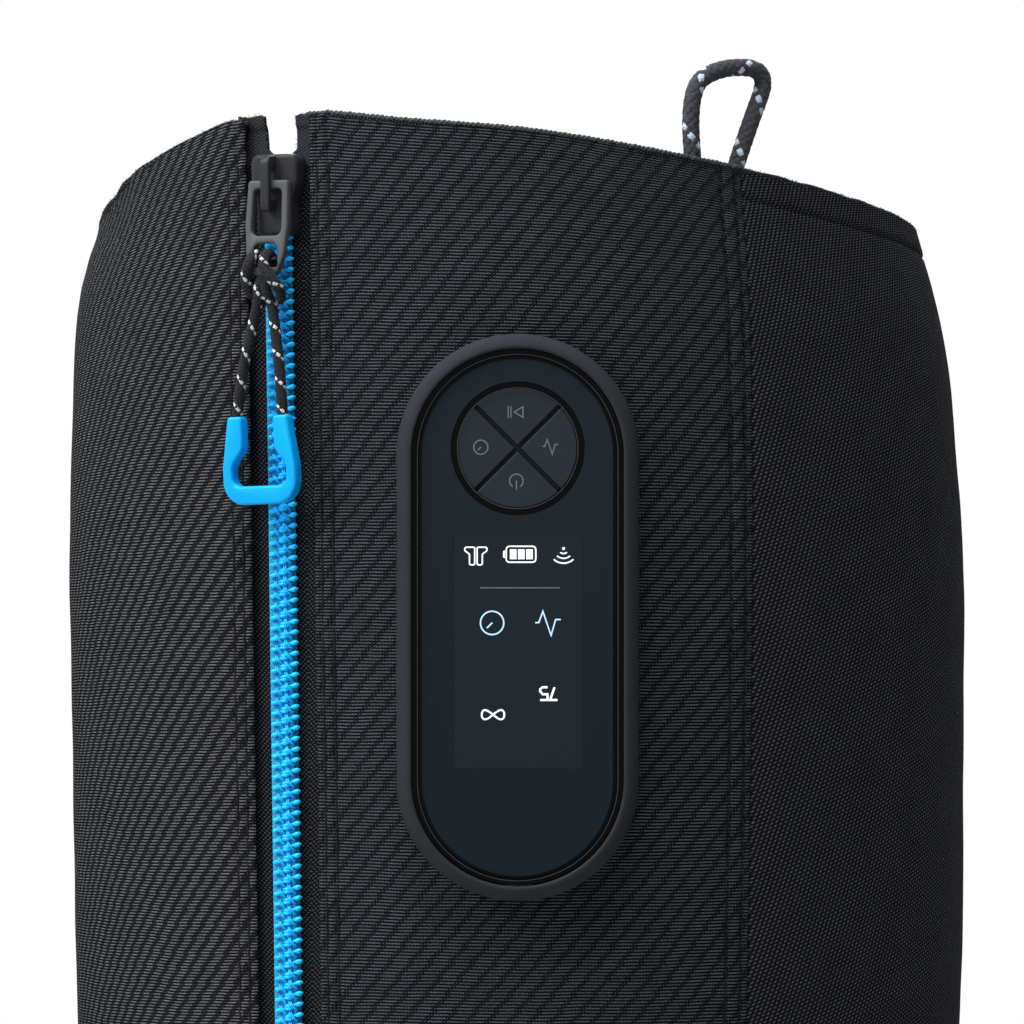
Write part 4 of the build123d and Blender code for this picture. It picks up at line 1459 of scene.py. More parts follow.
# ---- Finishes -------------------------------------------------------------------------
Recipe = MeshCloth | DotCloth | CoatedCloth | Yarn | Moulded | Plate | Lit | Brushed
RECIPES: dict[str, Recipe] = {
    "side_mesh": MeshCloth("side_mesh_cloth", srgb(95, 97, 101), row=0.83, step=0.8, thick=0.29,
        net=0.08, dots=0.4, broken=0.15, grain=0.035),
    "front_mesh": MeshCloth("front_mesh_cloth", srgb(80, 84, 91), column=0.9, repeat=6.4, step=0.8,
        float_half=2.3, thick=0.31, net=0.1, dots=0.66, broken=0.4),
    "canvas": DotCloth("canvas_cloth", srgb(92, 95, 101), sharp=1.8),
    "tape": DotCloth("zip_tape_cloth", srgb(72, 74, 80), (0.62, -0.92), (0.66, 0.66), 0.12,
        sharp=1.5, fold=6.2),
    "flap": DotCloth("tape_end_cloth", srgb(76, 79, 86), (1.35, 0.9), (-0.6, 1.2), 0.1, floor=0.12),
    "binding": DotCloth("binding_cloth", srgb(84, 86, 91), (1.3, 0.4), (-0.5, 1.1), 0.1),
    "lining": CoatedCloth("lining_cloth"),
    "thread": Yarn("seam_thread", srgb(14, 15, 17)),
    "edge_thread": Yarn("overlock_thread", srgb(76, 79, 85)),
    "rope": Yarn("rope_yarn", srgb(66, 68, 74)),
    "rope_fleck": Yarn("rope_fleck_yarn", srgb(196, 212, 230)),
    "pull_yarn": Yarn("pull_cord_yarn", srgb(42, 43, 46)),
    "pull_fleck": Yarn("pull_cord_fleck_yarn", srgb(232, 236, 242)),
    "coil": Moulded("zip_coil_nylon", srgb(20, 176, 248), rough=0.36, grain=0.2, mottle=0.12,
        specular=0.2, subsurface=0.1),
    "coil_cloth": DotCloth("zip_coil_base", srgb(60, 176, 226), (1.1, 0.5), (-0.4, 1.1), 0.1,
        floor=0.5),
    "grip": Moulded("grip_rubber", srgb(5, 148, 219), rough=0.42, grain=0.25, mottle=0.05,
        specular=0.12, subsurface=0.12),
    # One paint for slider and tab in two copies: the slider's is darker as painted shade, the tab's
    # lighter as painted light.
    "zip_metal": Moulded("slider_paint", srgb(40, 41, 44), rough=0.34, grain=0.18, depth=0.008,
        mottle=0.08, specular=0.1),
    "tab_metal": Moulded("tab_paint", srgb(68, 70, 74), rough=0.4, grain=0.18, depth=0.008,
        mottle=0.06, specular=0.1),
    "bezel": Moulded("bezel_plastic", srgb(42, 44, 48), rough=0.46, grain=0.16, depth=0.005,
        mottle=0.05, specular=0.0),
    # Light grey for the painted highlight lines along the channel's and the dish's edges.
    "edge": Moulded("channel_edge", srgb(52, 54, 58), rough=0.16, grain=0.4, depth=0.002,
        mottle=0.1, specular=0.3),
    "gloss": Moulded("channel_gloss", srgb(5, 5, 7), rough=0.1, grain=0.5, depth=0.002, mottle=0.1,
        specular=0.06),
    # The face and the display window, each darker towards the bottom as painted shade.
    "plate": Plate("face_lacquer", srgb(24, 30, 36), srgb(18, 26, 32)),
    "window": Plate("display_smoke", srgb(27, 33, 39), srgb(24, 31, 37), 0.2),
    "button": Moulded("button_plastic", srgb(36, 41, 46), rough=0.5, grain=0.14, depth=0.006,
        mottle=0.06, specular=0.04),
    "ink": Lit("button_ink", srgb(96, 99, 106)),
    "light": Lit("display_light", srgb(250, 253, 255), glow=0.95),
    "blue_light": Lit("display_blue_light", srgb(186, 226, 252), glow=0.8),
    "dim_light": Lit("display_dim_light", srgb(92, 104, 112), glow=0.12),
    "sole": Moulded("sole_rubber", srgb(34, 34, 36), rough=0.7, grain=0.6, depth=0.05,
        specular=0.2),
    "film": Moulded("bladder_film", srgb(58, 60, 64), rough=0.35, grain=3.0, depth=0.2,
        specular=0.4),
    "foam": Moulded("rim_foam", srgb(40, 40, 42), rough=0.95, grain=0.8, depth=0.25, specular=0.1),
    "case": Moulded("case_plastic", srgb(36, 37, 39), rough=0.5, grain=0.3),
    "rubber": Moulded("silicone_rubber", srgb(70, 70, 72), rough=0.6, subsurface=0.05),
    "tube": Moulded("tube_silicone", srgb(170, 172, 174), rough=0.35, subsurface=0.2),
    "board": Moulded("board_mask", srgb(14, 74, 48), rough=0.3, grain=1.4, depth=0.03, mottle=0.3,
        coat=0.4),
    "wrap": Moulded("battery_wrap", srgb(34, 62, 140), rough=0.25, grain=2.0, mottle=0.1),
    "steel": Brushed("plain_steel", srgb(196, 197, 200)),
}
# The finish of each node that stays as it is.
DRESSED = {
    "gloss": ("mid_frame",), "plate": ("face_plate",), "window": ("display_window",),
    "zip_metal": ("zip_bottom_stop",), "board": ("main_board",), "wrap": ("battery_pack",),
    "film": tuple(f"air_chamber_{n}" for n in ("thigh", "knee", "calf", "heel", "forefoot")),
    "case": ("rear_case", "retaining_ring", "pump_head", "valve_manifold", "solenoid_valves",
             "pressure_sensor", "display_module"),
    "rubber": ("button_membrane", "pump_mounts"),
    "tube": tuple(f"air_tube_{n}" for n in ("thigh", "knee", "calf", "heel")),
    "steel": ("dome_switches", "case_screws", "pump_motor", "charge_port"),
    "button": tuple(f"button_{n}" for n in ("play", "pulse", "power", "dial")),
}


class Finishes:
    """Every material of the boot, built once, each under its own name."""

    def __init__(self) -> None:
        """Builds the materials."""
        for label, recipe in RECIPES.items():
            setattr(self, label, recipe.material())

    def dress_nodes(self) -> None:
        """Gives every node that stays as it is its finish."""
        for label, names in DRESSED.items():
            for name in names:
                for place in frame["nodes"][name].material_slots:
                    place.material = getattr(self, label)


# ---- Sleeve ---------------------------------------------------------------------------
@dataclass
class Sleeve:
    """The three cloth panels of the leg, with their seams, stitching and rim."""

    leg: LegShape
    pod: LocalFrame
    repeater: Repeater
    finishes: Finishes
    slot_half: float = 10.2
    slot_end: float = 220.0
    right_seam: tuple[float, float] = (112.5, -9.0)
    left_seam: tuple[float, float] = (-118.0, 92.0)
    cloth: float = 1.4
    zip_rows: tuple[float, float] = (2.5, 5.9)
    seam_rows: tuple[float, float] = (2.6, 7.2)
    stitch_pitch: float = 2.8
    hem: float = 7.5
    edge_drop: float = 0.8
    cloth_level: float = 700.0
    top: float = 800.0
    below_top: float = 10.0
    pod_size: tuple[float, float] = (65.9, 153.9)
    # The bound edge in section: distance out from the cover, and height from the rim.
    rim_section: Points = ((-0.1, -1.9), (0.2, -1.5), (0.3, -0.9), (0.1, -0.15), (-1.4, 0.1),
                           (-3.4, 0.1), (-5.2, -0.3), (-6.2, -1.2), (-6.35, -3.0),
                           (-5.6, -4.4), (-3.0, -3.4), (-1.4, -3.2))

    def slot_angle(self, z: np.ndarray) -> np.ndarray:
        """Angle of the panel's edge beside the zip, closing below the zip's end."""
        open_share = np.clip((z - self.slot_end + 9) / 8, 0.02, 1)
        return np.arcsin(self.slot_half * open_share / self.leg.radius(z))

    def edges(self, name: str) -> tuple[Callable, Callable]:
        """The two edges of a panel, as functions from height to angle."""
        right = lambda z: self.leg.seam(self.right_seam, z)
        left = lambda z: self.leg.seam(self.left_seam, z)
        return {
            "front": (self.slot_angle, right),
            "side": (left, lambda z: -self.slot_angle(z)),
            "back": (right, lambda z: left(z) + TURN),
        }[name]

    def grid(self, name: str, rows_a: Sequence[float], rows_b: Sequence[float],
             hemmed: bool, step: float) -> tuple[np.ndarray, np.ndarray]:
        """The outer surface of one panel.

        Args:
            name: front, side or back.
            rows_a, rows_b: distances of the stitch rows from the panel's two edges.
            hemmed: whether the panel's top is folded over into a hem.
            step: distance between points away from the edges.

        Returns:
            The points and the distances on the cloth, rows by columns.
        """
        edge_a, edge_b = self.edges(name)
        bottom, full = self.leg.bottom, self.top - self.leg.bottom
        fine = np.array([0, 0.25, 0.6, 1.1, 1.7, 2.2, 2.6, 3.0, 3.6, 4.3, 5.0, 5.5, 5.9, 6.3,
                         6.8, 7.2, 7.6, 8.4, 9.6])
        level = np.array([self.top - self.below_top])
        width = float((edge_b(level) - edge_a(level))[0] * self.leg.radius(level)[0])
        middle = np.linspace(0, 1, int((width - 2 * fine[-1]) / step) + 1)[1:-1]
        down = np.concatenate([[0, 0.3, 0.7, 1.2, 1.8, 2.6, 3.6, 4.8, 6.0, 7.0, 7.5, 8.0, 9.0],
                               np.arange(11, 40, 2.2), np.arange(40, full, step)])
        share = np.append(down / full, 1.0)

        def angles(z: np.ndarray) -> np.ndarray:
            """Angle of every column at heights z, one height for each column."""
            a, b, r = edge_a(z), edge_b(z), self.leg.radius(z)
            count = len(fine)
            start = a[..., :count] + fine / r[..., :count]
            end = b[..., -count:] - fine[::-1] / r[..., -count:]
            inner = slice(count, -count)
            border = fine[-1] / r[..., inner]
            low, high = a[..., inner] + border, b[..., inner] - border
            return np.concatenate([start, low + (high - low) * middle, end], axis=-1)

        columns = 2 * len(fine) + len(middle)
        rim = self.leg.rim(angles(np.full(columns, level[0]))) - self.edge_drop
        z = bottom + (rim - bottom) * (1 - share[:, None])
        angle = angles(z)
        radius = self.leg.radius(z)
        from_a = (angle - edge_a(z)) * radius
        from_b = (edge_b(z) - angle) * radius
        depth = rim - z
        cloth_u = angle * self.leg.radius(self.cloth_level)
        lift = self.relief(cloth_u, z, depth, from_a, from_b, rows_a, rows_b, hemmed)
        points = self.leg.place(angle, z, lift)
        follow = (rim - 798.0) * np.exp(-depth / 32.0)
        uv = np.stack([cloth_u, z - follow], axis=2)
        return points[::-1], uv[::-1]

    def waves(self, u: np.ndarray, z: np.ndarray) -> np.ndarray:
        """Height of the long soft waves in the cloth."""
        return 0.15 + 0.35 * ripple(u, z * 0.6, 120, 3)

    def folds(self, u: np.ndarray, z: np.ndarray) -> np.ndarray:
        """Height of the soft folds round the knee and the ankle."""
        share = np.clip(bump_at(z, 455, 60) + 1.2 * bump_at(z, 205, 38), 0, 1.2)
        return share * 0.9 * ripple(u * 0.35, z, 24, 12)

    def relief(self, u: np.ndarray, z: np.ndarray, depth: np.ndarray, from_a: np.ndarray,
               from_b: np.ndarray, rows_a: Sequence[float], rows_b: Sequence[float],
               hemmed: bool) -> np.ndarray:
        """How far the cloth stands out from the plain leg: waves, seams, folds and hem."""
        lift = self.waves(u, z) + 0.12 * ripple(u, z, 34, 5)
        pinch = 0.7 + 0.3 * np.cos(TURN * z / self.stitch_pitch)
        for distance, rows in ((from_a, rows_a), (from_b, rows_b)):
            lift -= 0.85 * np.exp(-distance / 0.35)
            for row in rows:
                lift -= 0.8 * bump_at(distance, row, 0.6) * pinch
            if rows:
                lift += 0.3 * bump_at(distance, sum(rows) / 2, 1.4)
                lift += 0.10 * bump_at(distance, rows[-1] + 4, 3.0) * ripple(z, 0 * z, 11, 8)
        lift += 0.28 * np.exp(-depth / 9.0) * ripple(u, 0 * u, 17, 9)
        if hemmed:
            lift -= 0.5 * bump_at(depth, self.hem, 0.7)
            lift += 0.3 * (depth < self.hem)
        return lift + self.folds(u, z)

    def pod_cutter(self, sides: int = 40, back: float = -20.0,
                   front: float = 30.0) -> bpy.types.Object:
        """A round-ended block as large as the pump unit's opening."""
        outline = round_ended(*self.pod_size, sides)
        pile = MeshPile()
        pile.skin(np.stack([self.pod.level(outline, w) for w in (back, front)]),
                  self.pod.world([(0, 0, back), (0, 0, front)]))
        return new_object("pod_opening", pile.mesh("pod_opening"))

    def stitch_line(self, edge: Callable, row: float, side: int) -> Line:
        """Points and directions of one row of stitches beside an edge."""
        step = 4.0
        z = np.arange(self.leg.bottom + 3, 786.0, step)
        angle = edge(z) + side * row / self.leg.radius(z)
        z = np.minimum(z, self.leg.rim(angle) - step)
        u = angle * self.leg.radius(self.cloth_level)
        lift = self.waves(u, z) - 0.3 + self.folds(u, z)
        return line_on(self.leg.place(angle, z, lift), leg_out(angle))

    def stitches(self) -> None:
        """Sews every row of the three panels."""
        front_a, front_b = self.edges("front")
        side_a, side_b = self.edges("side")
        rows = {
            "zip_side_stitches": [(front_a, r, 1) for r in self.zip_rows]
            + [(side_b, r, -1) for r in self.zip_rows],
            "panel_seam_stitches": [(front_b, r, -1) for r in self.seam_rows]
            + [(side_a, r, 1) for r in self.seam_rows],
        }
        shape = capsule((-1.1, -0.24, 0), (1.1, 0.24, 0), 0.4, flat=0.8)
        for name, lines in rows.items():
            placed = [self.stitch_line(edge, row, side) for edge, row, side in lines]
            obj = self.repeater.place(name, placed, shape.mesh("stitch"), self.finishes.thread,
                                      self.stitch_pitch, 0.08, seed=4)
            settle(obj, BOOT, "mesh_fabric")

    def rim(self) -> None:
        """Builds the bound rim, its fibres and the overlocked edge of the front panel."""
        start = float(self.slot_angle(np.array([797.0]))[0])
        angle = np.linspace(start, TURN - start, 560)
        height = self.leg.rim(angle) + 0.16 * ripple(angle * 118, 0 * angle, 13, 2)
        pile = MeshPile()
        pile.skin(np.stack([self.leg.place(angle, height + rise, out)
                            for out, rise in self.rim_section], axis=1))
        piece("rim_binding_cloth", pile, [self.finishes.binding], "binding_fabric",
              "rim_binding", turned=True)
        right = float(self.leg.seam(self.right_seam, np.array([785.0]))[0])
        at = np.linspace(start, right - 0.01, 220)
        line = line_on(self.leg.place(at, self.leg.rim(at) - 0.25, 0.25), unit(leg_out(at, 0.35)))
        bead = capsule((-0.8, -0.3, 0), (0.8, 0.3, 0.1), 0.42)
        self.fuzz(start)
        beads = self.repeater.place("rim_overlock_beads", [line], bead.mesh("bead"),
                                    self.finishes.edge_thread, 1.32, 0.16, seed=7)
        settle(beads, BOOT, "binding_fabric")

    def fuzz(self, start: float, count: int = 3200, thick: float = 0.06) -> None:
        """Adds the short loose fibres that stand up along the bound rim.

        Args:
            start: angle of the rim's end beside the zip.
            count: number of fibres.
            thick: a fibre's radius.
        """
        chance = np.random.default_rng(31)
        angle = chance.uniform(start + 0.01, TURN - start - 0.01, count)
        reach = chance.uniform(0.12, 0.5, count)
        sway = chance.normal(0, 0.45, (count, 4))
        root = self.leg.place(angle, self.leg.rim(angle) - 0.25, -0.7 + 0.8 * chance.random(count))
        steps = np.linspace(-0.2, 1.0, 4)[:, None]
        pile = MeshPile()
        for at, base, long, tilt in zip(angle, root, reach, sway):
            out = np.array([math.sin(at), -math.cos(at), 0.0])
            along = np.array([math.cos(at), math.sin(at), 0.0])
            heading = np.array([0, 0, 1.0]) + tilt[0] * out + 1.6 * tilt[1] * along
            bend = tilt[2] * out + tilt[3] * along
            pile.tube(base + long * (steps * heading + steps**2 * bend), thick, 3)
        piece("rim_fibres", pile, [self.finishes.edge_thread], "binding_fabric")

    def padding(self, slit_half: float = 15.7, bottom: float = 750.5) -> None:
        """Builds the foam inside the rim."""
        edge = math.asin(slit_half / 118.0)
        rings = []
        for angle in np.linspace(edge, TURN - edge, 120):
            z = np.linspace(bottom, float(self.leg.rim(angle)) - 3.6, 9)
            outer = self.leg.place(angle, z, -2.0)
            inner = self.leg.place(angle, z, 1.55 - self.leg.wall(z))
            rings.append(np.vstack([outer, inner[::-1]]))
        pile = MeshPile()
        pile.skin(np.array(rings))
        piece("rim_padding_foam", pile, [self.finishes.foam], "padding_foam", "rim_padding",
              turned=True)

    def build(self) -> None:
        """Builds the panels, their stitching and the rim."""
        plans = {
            "front": (self.zip_rows, self.seam_rows, False, 3.2, self.finishes.front_mesh,
                      "mesh_fabric"),
            "side": (self.seam_rows, self.zip_rows, False, 3.2, self.finishes.side_mesh,
                     "mesh_fabric"),
            "back": ((), (), True, 3.6, self.finishes.canvas, "canvas_fabric"),
        }
        for name, (rows_a, rows_b, hemmed, step, finish, slot) in plans.items():
            pile = MeshPile()
            pile.grid(*self.grid(name, rows_a, rows_b, hemmed, step))
            obj = new_object(f"{name}_panel_cloth", pile.mesh(f"{name}_panel_cloth"))
            paint(obj, finish)
            thickened(obj, self.cloth)
            if name == "front":
                carved(obj, self.pod_cutter())
            else:
                plain(obj)
            creased(obj.data, 55)
            settle(obj, BOOT, slot, f"{name}_panel")
        self.stitches()
        self.rim()
        self.padding()


# ---- Foot and lining ------------------------------------------------------------------
@dataclass
class Foot:
    """The foot's cloth cover, the lining inside the boot and the rubber sole."""

    leg: LegShape
    repeater: Repeater
    finishes: Finishes
    pivot: tuple[float, float] = (-98.0, 176.0)
    toe_y: float = -188.5
    sides: int = 110
    sole_top: float = 4.0
    sole_bevel: float = 0.8
    tread: float = 1.3
    cloth: float = 1.4

    def sections(self, start_z: float, toe_y: float) -> list[tuple[np.ndarray, np.ndarray]]:
        """Cutting planes down the ankle, round the instep and along to the toe.

        Returns:
            For each plane a point inside the foot and the direction away from the instep.
        """
        pivot = np.array([0.0, *self.pivot])
        level = np.array([0.0, 12.0, start_z])
        found = []
        for share in np.linspace(0, 1, 46):
            turn = share * math.pi / 2
            way = np.array([0.0, math.cos(turn), -math.sin(turn)])
            centre_y = 12.0 * (1 - share) + self.pivot[0] * share
            centre_z = start_z * (1 - share) ** 1.6 + 52.0 * (1 - (1 - share) ** 1.6)
            if share == 0:
                found.append((level, way))
                continue
            guess = np.array([0.0, centre_y, centre_z])
            reach = (guess - pivot) @ way
            found.append((pivot + way * reach, way))
        for y in np.linspace(self.pivot[0] - 3, toe_y, 40):
            found.append((np.array([0.0, y, 44.0]), np.array([0.0, 0.0, -1.0])))
        return found

    def rings(self, tree: BVHTree, outside: bool, start_z: float, toe_y: float) -> np.ndarray:
        """Section outlines of the foot.

        Args:
            tree: the surface to find.
            outside: whether to look from outside in.
            start_z: height of the first, level section.
            toe_y: place of the last section.

        Returns:
            Points in millimetres, sections by sides.
        """
        turn = TURN * np.arange(self.sides) / self.sides
        rows = []
        for centre, way in self.sections(start_z, toe_y):
            row = []
            for angle in turn:
                ray = Vector(math.sin(angle) * np.array([1.0, 0, 0]) - math.cos(angle) * way)
                middle = Vector(centre * MM)
                if outside:
                    hit = tree.ray_cast(middle + ray * 0.5, -ray)[0]
                else:
                    hit = tree.ray_cast(middle, ray)[0]
                row.append(np.array(hit) / MM if hit else np.full(3, np.nan))
            rows.append(np.array(row))
        rings = np.array(rows)
        for k in range(3):
            layer = rings[..., k]
            for row in layer:
                bad = np.isnan(row)
                if bad.any() and not bad.all():
                    where = np.arange(len(row))
                    row[bad] = np.interp(where[bad], where[~bad], row[~bad], period=len(row))
        return rings[~np.isnan(rings).any(axis=(1, 2))]

    def smoothed(self, rings: np.ndarray, rounds: int, held: int) -> np.ndarray:
        """Evens out the rings, leaving the first held ones."""
        free = slice(held, None)
        for _ in range(rounds):
            around = (np.roll(rings, 1, axis=1) + np.roll(rings, -1, axis=1)) / 2
            shifted = rings.copy()
            shifted[1:-1] = (rings[:-2] + rings[2:]) / 2
            rings = rings.copy()
            rings[free] = 0.5 * rings[free] + 0.25 * around[free] + 0.25 * shifted[free]
        return rings

    def toe_rings(self, last: np.ndarray, swell: float = 1.35) -> np.ndarray:
        """Rings that close the toe, from its last ring in to the middle.

        Args:
            last: the foot's last ring.
            swell: how far the toe's tip stands in front of that ring.

        Returns:
            The rings, the first equal to last.
        """
        share = np.array([1, 0.95, 0.9, 0.84, 0.77, 0.68, 0.57, 0.44, 0.3, 0.16, 0.05])
        middle = last.mean(axis=0)
        rings = middle + (last - middle) * share[:, None, None]
        rings[..., 1] -= swell * (1 - share[:, None] ** 5)
        return rings

    def cover(self) -> None:
        """Builds the cloth round the foot, closed over the toe."""
        rings = self.rings(self.leg.outside, True, self.leg.bottom - 0.5, self.toe_y)
        rings = self.smoothed(rings, 5, 2)
        uv = grid_uv(rings, wrap=True)
        u = np.linspace(0, 480, self.sides + 1)[None, :] + 0 * uv[..., 0]
        v = -uv[:, self.sides // 4, 1][:, None] + 0 * u + self.leg.bottom
        uv = np.stack([u, v], axis=2)
        away = unit(rings - rings.mean(axis=1, keepdims=True))
        lift = 0.25 * ripple(u[:, :-1], v[:, :-1], 40, 4)
        ankle = bump_at(np.arange(len(rings)), 14, 12)[:, None]
        lift = lift + 0.6 * ankle * ripple(u[:, :-1] * 0.4, v[:, :-1], 20, 6)
        rings = rings + away * lift[..., None]
        rings[..., 2] = np.maximum(rings[..., 2], self.sole_top + 0.05)
        pile = MeshPile()
        pile.grid(rings[:, ::-1], uv[:, ::-1], wrap=True)
        toe = self.toe_rings(rings[-1][::-1])
        pile.grid(toe, np.concatenate([toe, toe[:, :1]], axis=1)[..., [0, 2]], wrap=True)
        pile.cap(toe[-1], toe[-1].mean(axis=0))
        name = "foot_cover_cloth"
        obj = new_object(name, outward(pile.mesh(name), 1e-6))
        paint(obj, self.finishes.canvas)
        thickened(obj, self.cloth)
        plain(obj)
        obj.data.shade_smooth()
        settle(obj, BOOT, "mesh_fabric", "foot_cover")
        self.ankle_band(rings[0])

    def ankle_band(self, ring: np.ndarray) -> None:
        """Builds the stitched tape over the seam between the leg and the foot."""
        way = unit((ring - ring.mean(axis=0)) * [1, 1, 0])
        level = ring[:, 2].mean()

        def around(rise: float, out: float) -> np.ndarray:
            """The leg's outline at a rise from the seam, moved out."""
            z = level + rise
            radius = self.leg.radius(z)
            return np.array([0.0, self.leg.front(z) + radius, z]) + way * (radius + out)

        section = [(0.1, -5.0), (0.75, -4.6), (0.85, -2.5), (0.85, 2.5), (0.75, 4.6), (0.1, 5.0),
                   (-0.6, 4.6), (-0.6, -4.6), (0.1, -5.0)]
        pile = MeshPile()
        pile.grid(np.array([around(rise, out + 0.35) for out, rise in section]), wrap=True)
        piece("ankle_seam_tape", pile, [self.finishes.tape], "zip_tape", turned=True)
        closed = np.append(np.arange(len(ring)), 0)
        lines = [line_on(around(rise, 1.2)[closed], way[closed]) for rise in (-3.4, 3.4)]
        shape = capsule((-1.0, 0, 0), (1.0, 0, 0), 0.24, flat=0.8)
        stitches = self.repeater.place("ankle_seam_stitches", lines, shape.mesh("stitch"),
                                       self.finishes.thread, 2.8, 0.08, seed=5)
        settle(stitches, BOOT, "mesh_fabric")

    def lining(self, slit_half: float = 15.6, slit_end: float = 216.0) -> None:
        """Builds the lining of the leg and, joined to it, of the foot."""
        leg, start_z, top = self.leg, 190.0, 797.0
        shares = np.linspace(0, 1, 150)

        def ring_angles(z: np.ndarray) -> np.ndarray:
            """Angles from one edge of the slit round to the other."""
            inner = leg.radius(z) - leg.wall(z)
            open_share = np.clip((z - slit_end + 6) / 6, 0.01, 1)
            edge = np.arcsin(np.clip(slit_half * open_share / inner, 0, 0.5))
            return edge + (TURN - 2 * edge) * shares[None, :]

        angle = ring_angles((start_z + (top - start_z) * shares)[:, None])
        rim = leg.rim(angle) - 3.2
        z = start_z + (rim - start_z) * shares[:, None]
        angle = ring_angles(z)
        ease = 0.9 * ripple(angle * 90, z, 60, 21)
        seam = sum(bump_at(z, at, 5.0) for at in (749.0, 561.0, 376.0, 204.0))
        lift = -leg.wall(z) - 0.25 + 0.5 * ease + 1.6 * seam
        points = leg.place(angle, z, lift)
        pile = MeshPile()
        uv = np.stack([angle * 95, z], axis=2)
        pile.grid(points[:, ::-1], uv[:, ::-1])
        for edge, flip in ((0, False), (-1, True)):
            reach = np.linspace(0, 1, 6)[None, :, None]
            inner = points[:, edge][:, None]
            outer = leg.place(angle[:, edge], z[:, edge], -5.2)
            outer[:, 0] = inner[:, 0, 0]
            strip = inner * (1 - reach) + outer[:, None] * reach
            strip_uv = np.stack(np.broadcast_arrays(25 * reach[..., 0], z[:, :1]), axis=2)
            open_rows = z[:, edge] > slit_end
            if flip:
                strip, strip_uv = strip[:, ::-1], strip_uv[:, ::-1]
            pile.grid(strip[open_rows], strip_uv[open_rows])
        piece("leg_lining_cloth", pile, [self.finishes.lining], "lining_fabric", "leg_lining")
        rings = self.rings(leg.inside, False, start_z + 1.0, self.toe_y + 22.0)
        rings = self.smoothed(rings, 3, 1)
        pile = MeshPile()
        pile.grid(rings, wrap=True)
        pile.cap(rings[-1], rings[-1].mean(axis=0), flip=True)
        piece("foot_lining_cloth", pile, [self.finishes.lining], "lining_fabric", "foot_lining")

    def outline(self, z: float, sides: int = 120) -> np.ndarray:
        """The sole's outline at height z, as points round it."""
        rows, middle = [], Vector((0.0, -50.0 * MM, z * MM))
        for angle in TURN * np.arange(sides) / sides:
            ray = Vector((math.cos(angle), math.sin(angle), 0))
            rows.append(np.array(self.leg.outside.ray_cast(middle + ray * 0.5, -ray)[0]) / MM)
        return np.array(rows)

    def sole(self) -> None:
        """Builds the sole with a bevelled edge, and rubber studs under it."""
        ring = self.outline(2.0)
        middle = np.array([0.0, -50.0, 0.0])
        away = unit((ring - middle) * [1, 1, 0])
        plan = [(-2.2, self.tread), (-0.7, self.tread), (0.0, self.tread + self.sole_bevel),
                (0.0, self.sole_top - 0.5), (-0.5, self.sole_top), (-2.0, self.sole_top)]
        rings = np.array([(ring + away * out) * [1, 1, 0] + [0, 0, z] for out, z in plan])
        pile = MeshPile()
        pile.skin(rings, middle + [[0, 0, self.tread], [0, 0, self.sole_top]])
        base = piece("outsole_rubber", pile, [self.finishes.sole], "sole_rubber", "outsole")
        base.data.set_sharp_from_angle(angle=math.radians(50))
        spots = []
        bearing = np.arctan2(away[:, 1], away[:, 0])
        order = np.argsort(bearing)
        reach = np.linalg.norm((ring - middle)[:, :2], axis=1)
        for i, y in enumerate(np.arange(-172, 90, 8.2)):
            for x in np.arange(-60, 61, 9.6):
                spot = np.array([x + (i % 2) * 4.8, y])
                offset = spot - middle[:2]
                edge = np.interp(math.atan2(offset[1], offset[0]), bearing[order], reach[order])
                if np.linalg.norm(offset) < edge - 6.5:
                    spots.append((spot[0], spot[1], self.tread + 0.1))
        points = np.array(spots)
        along = np.tile([1.0, 0.0, 0.0], (len(points), 1))
        out = np.tile([0.0, 0.0, -1.0], (len(points), 1))
        stud = MeshPile()
        turn = TURN * (np.arange(6) + 0.5) / 6
        levels = [(3.9, 0.0), (3.5, self.tread - 0.15), (3.2, self.tread + 0.1)]
        rows = np.array([[(r * math.cos(t), 0.8 * r * math.sin(t), h) for t in turn]
                         for r, h in levels])
        stud.skin(rows, [(0, 0, 0), (0, 0, self.tread + 0.1)])
        studs = self.repeater.place("sole_studs", [(points, along, out)], stud.mesh("stud"),
                                    self.finishes.sole, None, 0.0, seed=2)
        studs.data.set_sharp_from_angle(angle=math.radians(30))
        settle(studs, BOOT, "sole_rubber")

    def build(self) -> None:
        """Builds the cover, the lining and the sole."""
        self.cover()
        self.lining()
        self.sole()


